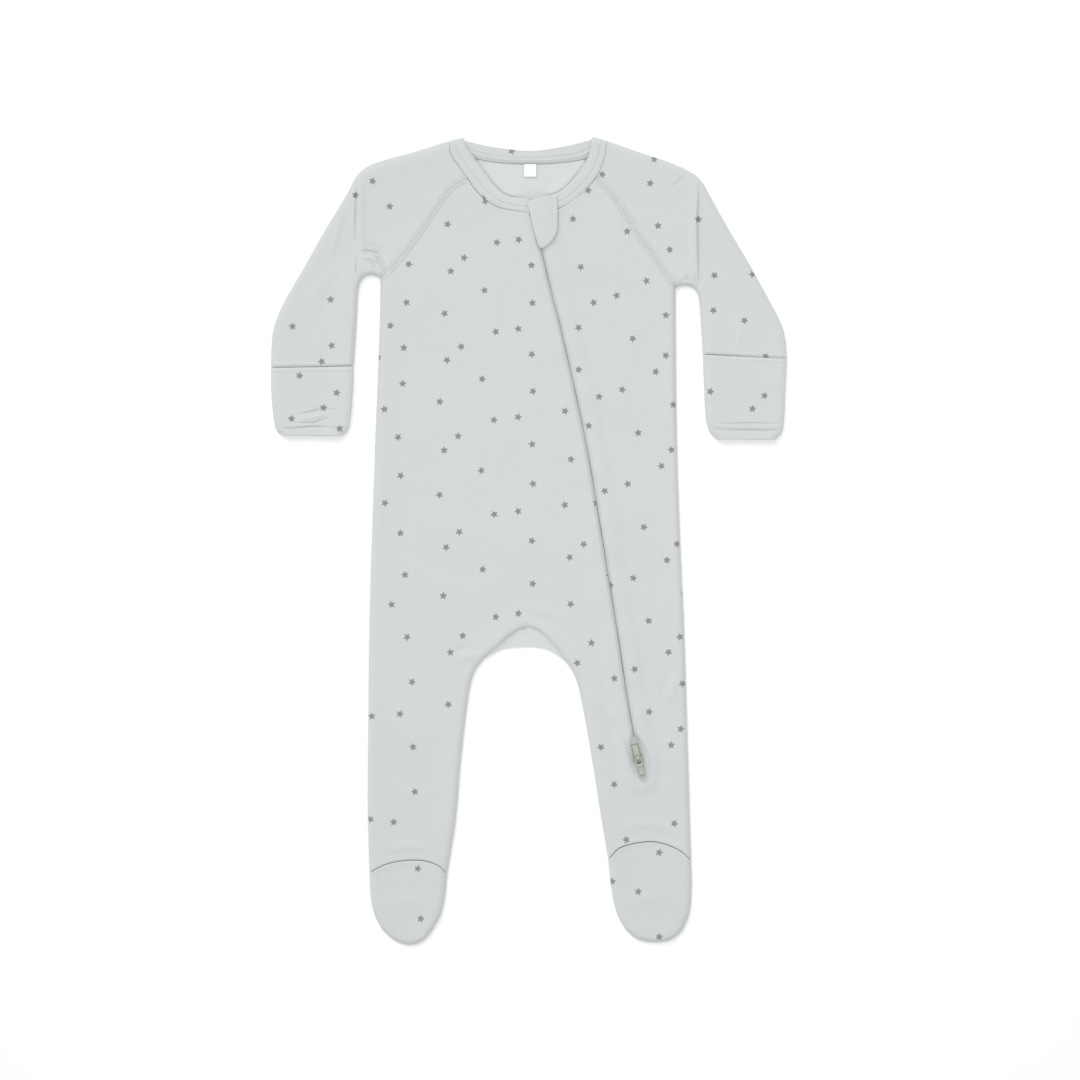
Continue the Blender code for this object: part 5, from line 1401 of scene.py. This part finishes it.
def repeated(name, shape, frames, material):
    """One object of many copies of a small closed shape, each put in its own frame."""
    one = bpy.data.meshes.new(name + "_one")
    shape.to_mesh(one)
    shape.free()
    bm = bmesh.new()
    for frame_rows in frames:
        copy = one.copy()
        copy.transform(Matrix(frame_rows))
        bm.from_mesh(copy)
        bpy.data.meshes.remove(copy)
    bpy.data.meshes.remove(one)
    return object_from(bm, name, [material])


def frames_along(points, way, size):
    """Frames at points in mm whose X runs along a way in plan, scaled to a size in mm."""
    frames = np.zeros((len(points), 4, 4))
    x, y, z = size
    frames[:, 0, 0], frames[:, 1, 0] = way[:, 0] * x, way[:, 1] * x
    frames[:, 0, 1], frames[:, 1, 1] = -way[:, 1] * y, way[:, 0] * y
    frames[:, 2, 2] = z
    frames[:, :3, 3] = points
    frames[:, 3, 3] = 1.0
    frames[:, :3] *= MM
    return frames


def evenly(path, spacing, shift=0.5):
    """Places every so often along a path in plan, and the way that it runs at each."""
    lengths = np.linalg.norm(np.diff(path, axis=0), axis=1)
    at = np.concatenate(([0.0], np.cumsum(lengths)))
    places = (np.arange(int(at[-1] / spacing)) + shift) * spacing

    def read(distance):
        return np.stack([np.interp(distance, at, path[:, k]) for k in (0, 1)], -1)
    return read(places), unit(read(places + 0.05) - read(places - 0.05))


def bead(sides, rings):
    """Unit bead, longest along X once it is scaled, of few faces."""
    bm = bmesh.new()
    bmesh.ops.create_uvsphere(
        bm, u_segments=sides, v_segments=rings, radius=0.5,
        matrix=Matrix.Rotation(math.radians(90), 4, "Y"),
    )
    return bm


def make_zip():
    """Two tapes under the edges of the slit, each with its row of interlocking nylon teeth."""
    weave, nylon = zip_tape_weave(), zip_nylon()
    rows = np.linspace(TAPE_TOP_ROW, TAPE_END_ROW, 220)
    for name, side in (("right", -1), ("left", 1)):
        plan = np.stack([beside(ZIP_LINE, rows, side * across) for across in TAPE_LINES], axis=1)
        bm = new_cloth()
        lay_grid(bm, standing(plan, np.full(plan.shape[:2], TAPE_TOP)))
        tape = object_from(bm, "zip_tape_cloth_" + name, [weave])
        thicken(tape, "weave", TAPE_THICK * MM, -1.0)
        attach(tape, "garment")
        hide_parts("zip_tape_" + name)
        spacing = bpy.context.scene.sleepsuit_sizes.tooth / MM
        centres, way = evenly(curve(ZIP_LINE, rows), spacing, 0.25 + 0.25 * side)
        out = np.stack((-way[:, 1], way[:, 0]), -1) * side
        middles = centres + out * (TOOTH_SIZE[0] / 2 - TOOTH_OVERLAP)
        points = standing(middles, np.full(len(middles), TOOTH_Z))
        # each tooth is a loop of the filament, laid across the zip and leaning a little
        lean = unit(out + TOOTH_LEAN * side * way)
        teeth = repeated("zip_teeth_" + name, bead(8, 5), frames_along(points, lean, TOOTH_SIZE), nylon)
        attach(teeth, "garment")


def on_zip(bm):
    """Move a shape made round the hinge, with +Y up the zip, to its place."""
    centre, above = curve(ZIP_LINE, np.array([HINGE_ROW, HINGE_ROW - 0.1]))
    way = above - centre
    bmesh.ops.transform(
        bm, verts=bm.verts,
        matrix=Matrix.Translation(Vector((*centre, HINGE_Z)) * MM)
        @ Matrix.Rotation(math.atan2(-way[0], way[1]) + SLIDER_LEAN, 4, "Z"),
    )


def sheet_metal(name, xs, ys, shape, thickness, bevel, body, node_name=None, holes=(), thin=None):
    """Plate from a grid of lines, bent by a function of x and y in mm, with rounded edges.

    Where thin is true of x and y, the plate is half as thick."""
    bm = bmesh.new()
    made = bmesh.ops.create_grid(bm, x_segments=len(xs) - 1, y_segments=len(ys) - 1, size=1.0)["verts"]
    thinner = []
    for vert in made:
        x = xs[round((vert.co.x + 1) / 2 * (len(xs) - 1))]
        y = ys[round((vert.co.y + 1) / 2 * (len(ys) - 1))]
        if thin and thin(x, y):
            thinner.append(vert)
        vert.co = Vector((x, y, 0.0))
    for low, high in holes:
        inside = []
        for face in bm.faces:
            middle = face.calc_center_median()
            if low[0] < middle.x < high[0] and low[1] < middle.y < high[1]:
                inside.append(face)
        bmesh.ops.delete(bm, geom=inside, context="FACES")
    bm.verts.index_update()
    thinner = [vert.index for vert in thinner if vert.is_valid]
    for vert in bm.verts:
        vert.co = Vector(shape(vert.co.x, vert.co.y)) * MM
    on_zip(bm)
    obj = object_from(bm, name, [nickel_plate()])
    plate = thicken(obj, "plate", thickness * MM, 0.0)
    if thin:
        group = obj.vertex_groups.new(name="thickness")
        group.add(range(len(obj.data.vertices)), 1.0, "REPLACE")
        group.add(thinner, 0.5, "REPLACE")
        plate.vertex_group = group.name
    rounded = obj.modifiers.new("edges", "BEVEL")
    rounded.width = bevel * MM
    rounded.segments = 3
    rounded.limit_method = "ANGLE"
    rounded.angle_limit = math.radians(50)
    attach(obj, body)
    if node_name:
        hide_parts(node_name)
    return obj


def make_slider():
    """Slider: a top plate that widens towards its mouth, and the arched bail for the pull."""
    low, high = SLIDER_WIDTHS[0][0], SLIDER_WIDTHS[-1][0]
    middle = SLIDER_UNDER + SLIDER_THICK / 2 - HINGE_Z
    dent, dent_half, dent_depth = SLIDER_DENT
    channel, channel_half, channel_depth = SLIDER_CHANNEL

    def plate(x, y):
        half = float(np.interp(y, *zip(*SLIDER_WIDTHS)))
        crown = SLIDER_CROWN * (1 - x ** 2)
        sunk = dent_depth * bump(math.hypot(y - dent, 0.8 * x), dent_half)
        beside_channel = abs(abs(x) - channel)
        sunk += channel_depth * bump(beside_channel, channel_half) * fade(y, *SLIDER_CHANNEL_END)
        return half * x, y, middle + crown - sunk

    sheet_metal(
        "slider_plate", np.linspace(-1, 1, 31), np.linspace(low, high, 40), plate,
        SLIDER_THICK, SLIDER_EDGE, "garment", "zip_slider",
    )

    def bail(x, y):
        angle = math.pi * (y + 1) / 2
        return (
            BAIL_WIDTH / 2 * x, -BAIL_HALF * math.cos(angle),
            middle + (BAIL_TOP_Z - HINGE_Z - middle) * math.sin(angle) ** BAIL_ARCH,
        )

    sheet_metal(
        "slider_bail", np.linspace(-1, 1, 5), np.linspace(-1, 1, 25), bail, BAIL_THICK, BAIL_EDGE,
        "garment",
    )


def make_pull():
    """Pull tab with an eye round the bail, a sunk middle and a hole at its tip."""
    sunk_half, sunk_low, sunk_high = PULL_SUNK

    def tab(x, y):
        half = float(np.interp(y, *zip(*PULL_WIDTHS)))
        return half * x, y, 0.0

    sheet_metal(
        "pull_tab", PULL_LINES_X, PULL_LINES_Y, tab, PULL_THICK, PULL_EDGE, "zip_pull", "zip_pull",
        holes=(PULL_EYE, PULL_TIP_HOLE),
        thin=lambda x, y: abs(x) < sunk_half and sunk_low < y < sunk_high,
    )


def make_label():
    """Blank ribbon label, folded double and sewn in under the neck band at the back."""
    width = (LABEL_X[1] - LABEL_X[0]) / 2
    middle = (LABEL_X[1] + LABEL_X[0]) / 2
    length = LABEL_Y[1] - LABEL_Y[0]
    across = np.linspace(-1, 1, 9)
    down = np.linspace(0, 1, 18)
    waved = LABEL_WAVE[0] * np.sin(LABEL_WAVE[1] * np.pi * down)
    top = np.stack((LABEL_Y[1] - length * down, LABEL_Z[1] + waved), -1)
    turn = np.linspace(0, np.pi, 8)[1:-1]
    radius = (LABEL_Z[1] - LABEL_Z[0]) / 2
    fold = np.stack((LABEL_Y[0] - radius * np.sin(turn), LABEL_Z[0] + radius * (1 + np.cos(turn))), -1)
    under = np.stack((LABEL_Y[1] - length * down[::-1], np.full(len(down), LABEL_Z[0])), -1)
    path = np.concatenate((top, fold, under))
    points = np.zeros((len(path), len(across), 3))
    points[..., 0] = middle + width * across
    points[..., 1:] = path[:, None]
    bm = new_cloth()
    lay_grid(bm, points)
    obj = object_from(bm, "label_ribbon", [satin_ribbon()])
    thicken(obj, "ribbon", LABEL_THICK * MM, 0.0)
    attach(obj, "garment")
    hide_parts("neck_label")


# ---------------------------------------------------------------- sewing

def stitch_frames(path, height, lift):
    """Frames of the stitches of one needle line, of thread that is pressed a little flat."""
    sizes = bpy.context.scene.sleepsuit_sizes
    length, thread = sizes.stitch / MM, sizes.thread / MM
    points, way = evenly(path, length * STITCH_PITCH)
    return frames_along(standing(points, height(points) + lift), way, (length, thread, thread * 0.8))


def cross_threads(front, height):
    """Frames of the looper thread that zigzags over a raglan seam between its needle lines."""
    middle, way = evenly(curve(front, np.linspace(0.02, 1.98, 200)), CROSS_SPACING)
    out = np.stack((-way[:, 1], way[:, 0]), -1)
    turns = np.where(np.arange(len(middle)) % 2 == 0, 1.0, -1.0)[:, None]
    lean = unit(out + turns * way * (CROSS_SPACING / (2 * NEEDLE_GAP)))
    thread = bpy.context.scene.sleepsuit_sizes.thread / MM * CROSS_THREAD
    points = standing(middle, height(middle) + CROSS_LIFT)
    return frames_along(points, lean, (2 * NEEDLE_GAP, thread, thread))


def on_back_band(points):
    return np.full(len(points), BACK_BAND_TOP)


def make_sewing():
    """Visible stitches: raglan seams, neck band and the hems of the cuffs."""
    rows = np.linspace(0.02, 1.98, 120)
    lines = []
    for table in (RAGLAN_RIGHT, RAGLAN_LEFT):
        for side in (-1, 1):
            lines.append(stitch_frames(beside(table, rows, side * NEEDLE_GAP), upper, THREAD_LIFT))
        lines.append(cross_threads(table, upper))
    band_rows = np.linspace(0.04, 2.96, 120)
    for line in BINDING_STITCHES:
        share = line / BINDING_WIDTH

        def on_band(points):
            return upper(points, False) + band_height(share)

        for seam, free in ((NECK_SEAM_RIGHT, NECK_FREE_RIGHT), (NECK_SEAM_LEFT, NECK_FREE_LEFT)):
            path = binding_line(seam, free, band_rows, share)
            lines.append(stitch_frames(path, on_band, THREAD_LIFT))
        behind = binding_line(BACK_NECK_SEAM, BACK_NECK_FREE, np.linspace(0.05, 3.95, 160), share)
        lines.append(stitch_frames(behind, on_back_band, BACK_BAND_THREAD))
    for inner, outer in ((CUFF_INNER_RIGHT, CUFF_OUTER_RIGHT), (CUFF_INNER_LEFT, CUFF_OUTER_LEFT)):
        ends = curve(inner, np.array([CUFF_HEM_ROW])), curve(outer, np.array([CUFF_HEM_ROW]))
        path = np.concatenate([ends[0] * (1 - t) + ends[1] * t for t in CUFF_HEM_ENDS])
        lines.append(stitch_frames(path, upper, HEM_LIFT + THREAD_LIFT))
    obj = repeated("sewing_thread", bead(6, 4), np.concatenate(lines), sewing_thread())
    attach(obj, "garment")


# ---------------------------------------------------------------- stage

def make_stage():
    """Pale floor, soft studio light and a camera straight above the suit."""
    bm = bmesh.new()
    bmesh.ops.create_grid(bm, x_segments=4, y_segments=4, size=FLOOR_HALF)
    bmesh.ops.translate(bm, verts=bm.verts, vec=(0.0, 0.0, FLOOR_Z))
    floor = object_from(bm, "floor", [studio_floor()])

    key = bpy.data.lights.new("key", "SUN")
    key.angle = math.radians(KEY_WIDTH)
    key.energy = KEY_STRENGTH
    key_lamp = bpy.data.objects.new("key", key)
    key_lamp.rotation_euler = (-Vector(KEY_FROM)).to_track_quat("-Z", "Y").to_euler()
    bpy.context.collection.objects.link(key_lamp)
    overhead = bpy.data.lights.new("overhead", "SPOT")
    overhead.spot_size = math.radians(OVERHEAD_CONE)
    overhead.spot_blend = 1.0
    overhead.energy = OVERHEAD_POWER
    overhead.shadow_soft_size = OVERHEAD_SIZE
    overhead_lamp = bpy.data.objects.new("overhead", overhead)
    overhead_lamp.location = OVERHEAD_PLACE
    bpy.context.collection.objects.link(overhead_lamp)
    world = bpy.data.worlds.new("studio_air")
    world.use_nodes = True
    background = world.node_tree.nodes["Background"]
    background.inputs["Color"].default_value = (1.0, 1.0, 1.0, 1.0)
    background.inputs["Strength"].default_value = WORLD_LIGHT
    bpy.context.scene.world = world

    camera = bpy.data.cameras.new("camera")
    camera.lens = CAMERA_LENS
    eye = bpy.data.objects.new("camera", camera)
    eye.location = CAMERA_PLACE
    bpy.context.collection.objects.link(eye)
    bpy.context.scene.camera = eye
    bpy.context.scene.view_settings.view_transform = "Standard"


# ---------------------------------------------------------------- operators

class SLEEPSUIT_OT_stage(bpy.types.Operator):
    """Make the pale floor, the soft light and the camera"""
    bl_idname = "sleepsuit.stage"
    bl_label = "Stage"

    def execute(self, context):
        make_stage()
        return {"FINISHED"}


class SLEEPSUIT_OT_back(bpy.types.Operator):
    """Make the back panel with both back legs"""
    bl_idname = "sleepsuit.back"
    bl_label = "Back"

    def execute(self, context):
        make_back()
        return {"FINISHED"}


class SLEEPSUIT_OT_front(bpy.types.Operator):
    """Make the front panel, slit for the zip"""
    bl_idname = "sleepsuit.front"
    bl_label = "Front"

    def execute(self, context):
        make_front()
        return {"FINISHED"}


class SLEEPSUIT_OT_sleeves(bpy.types.Operator):
    """Make the two raglan sleeves"""
    bl_idname = "sleepsuit.sleeves"
    bl_label = "Sleeves"

    def execute(self, context):
        make_sleeve(
            "raglan_sleeve_right", "sleeve_right", 1,
            (FOLD_RIGHT, RAGLAN_RIGHT, BACK_RAGLAN_RIGHT, UNDERARM_RIGHT, NECK_SEAM_RIGHT,
             (BACK_NECK_SEAM, 0, 1)),
            print_stars(WHOLE_PIECE, 0.0, STARS_SLEEVE_RIGHT, SLEEVE_REPEAT, -SLEEVE_LEAN),
        )
        make_sleeve(
            "raglan_sleeve_left", "sleeve_left", -1,
            (FOLD_LEFT, RAGLAN_LEFT, BACK_RAGLAN_LEFT, UNDERARM_LEFT, NECK_SEAM_LEFT,
             (BACK_NECK_SEAM, 4, 3)),
            print_stars(WHOLE_PIECE, 0.0, STARS_SLEEVE_LEFT, SLEEVE_REPEAT, SLEEVE_LEAN),
        )
        return {"FINISHED"}


class SLEEPSUIT_OT_cuffs(bpy.types.Operator):
    """Make the two mitten cuffs"""
    bl_idname = "sleepsuit.cuffs"
    bl_label = "Cuffs"

    def execute(self, context):
        make_cuff(
            "mitten_cuff_right", "cuff_right", CUFF_INNER_RIGHT, CUFF_OUTER_RIGHT,
            print_stars(WHOLE_PIECE, 0.0, STARS_CUFF_RIGHT, FAR_REPEAT),
        )
        make_cuff(
            "mitten_cuff_left", "cuff_left", CUFF_INNER_LEFT, CUFF_OUTER_LEFT,
            print_stars(WHOLE_PIECE, 0.0, STARS_CUFF_LEFT, FAR_REPEAT),
        )
        return {"FINISHED"}


class SLEEPSUIT_OT_feet(bpy.types.Operator):
    """Make the two feet, each a top and a sole"""
    bl_idname = "sleepsuit.feet"
    bl_label = "Feet"

    def execute(self, context):
        make_foot(
            "right", (SIDE_RIGHT, TOE_SIDE_RIGHT, INSEAM_RIGHT, TOE_INNER_RIGHT),
            stretch(TOE_TIP_RIGHT, 0, 1), stretch(INSTEP_RIGHT, 0, 1),
            print_stars(WHOLE_PIECE, 0.0, STARS_FOOT_RIGHT, FAR_REPEAT),
        )
        make_foot(
            "left", (SIDE_LEFT, TOE_SIDE_LEFT, INSEAM_LEFT, TOE_INNER_LEFT),
            stretch(TOE_TIP_LEFT, 1, 0), stretch(INSTEP_LEFT, 1, 0),
            print_stars(WHOLE_PIECE, 0.0, STARS_FOOT_LEFT, FAR_REPEAT),
        )
        return {"FINISHED"}


class SLEEPSUIT_OT_neck_band(bpy.types.Operator):
    """Make the doubled band round the neck"""
    bl_idname = "sleepsuit.neck_band"
    bl_label = "Neck band"

    def execute(self, context):
        make_binding()
        return {"FINISHED"}


class SLEEPSUIT_OT_zip(bpy.types.Operator):
    """Make the zip's tapes and teeth"""
    bl_idname = "sleepsuit.zip"
    bl_label = "Zip"

    def execute(self, context):
        make_zip()
        return {"FINISHED"}


class SLEEPSUIT_OT_guard(bpy.types.Operator):
    """Make the chin guard over the top of the zip"""
    bl_idname = "sleepsuit.guard"
    bl_label = "Chin guard"

    def execute(self, context):
        make_guard()
        return {"FINISHED"}


class SLEEPSUIT_OT_slider(bpy.types.Operator):
    """Make the zip's slider with its bail"""
    bl_idname = "sleepsuit.slider"
    bl_label = "Slider"

    def execute(self, context):
        make_slider()
        return {"FINISHED"}


class SLEEPSUIT_OT_pull(bpy.types.Operator):
    """Make the zip's pull tab"""
    bl_idname = "sleepsuit.pull"
    bl_label = "Pull tab"

    def execute(self, context):
        make_pull()
        return {"FINISHED"}


class SLEEPSUIT_OT_label(bpy.types.Operator):
    """Make the blank label in the back neck"""
    bl_idname = "sleepsuit.label"
    bl_label = "Label"

    def execute(self, context):
        make_label()
        return {"FINISHED"}


class SLEEPSUIT_OT_sewing(bpy.types.Operator):
    """Make the stitches that show"""
    bl_idname = "sleepsuit.sewing"
    bl_label = "Sewing"

    def execute(self, context):
        make_sewing()
        return {"FINISHED"}


STEPS = (
    "stage", "back", "front", "sleeves", "cuffs", "feet", "neck_band", "zip", "guard", "slider",
    "pull", "label", "sewing",
)


class SLEEPSUIT_PT_panel(bpy.types.Panel):
    """Sizes and colours of the sleepsuit, and the steps that build it"""
    bl_label = "Footed baby sleepsuit"
    bl_idname = "SLEEPSUIT_PT_panel"
    bl_space_type = "VIEW_3D"
    bl_region_type = "UI"
    bl_category = "Sleepsuit"

    def draw(self, context):
        for group in (context.scene.sleepsuit_sizes, context.scene.sleepsuit_colours):
            column = self.layout.column(align=True)
            for name in group.__annotations__:
                column.prop(group, name)
        steps = self.layout.column(align=True)
        for step in STEPS:
            steps.operator("sleepsuit." + step)


CLASSES = (
    SleepsuitSizes, SleepsuitColours, SLEEPSUIT_OT_stage, SLEEPSUIT_OT_back, SLEEPSUIT_OT_front,
    SLEEPSUIT_OT_sleeves, SLEEPSUIT_OT_cuffs, SLEEPSUIT_OT_feet, SLEEPSUIT_OT_neck_band,
    SLEEPSUIT_OT_zip, SLEEPSUIT_OT_guard, SLEEPSUIT_OT_slider, SLEEPSUIT_OT_pull,
    SLEEPSUIT_OT_label, SLEEPSUIT_OT_sewing, SLEEPSUIT_PT_panel,
)


def register():
    for cls in CLASSES:
        bpy.utils.register_class(cls)
    bpy.types.Scene.sleepsuit_sizes = bpy.props.PointerProperty(type=SleepsuitSizes)
    bpy.types.Scene.sleepsuit_colours = bpy.props.PointerProperty(type=SleepsuitColours)


def unregister():
    del bpy.types.Scene.sleepsuit_colours
    del bpy.types.Scene.sleepsuit_sizes
    for cls in reversed(CLASSES):
        bpy.utils.unregister_class(cls)


def main():
    register()
    for step in STEPS:
        getattr(bpy.ops.sleepsuit, step)()
    bpy.context.view_layer.update()


if __name__ == "__main__":
    main()
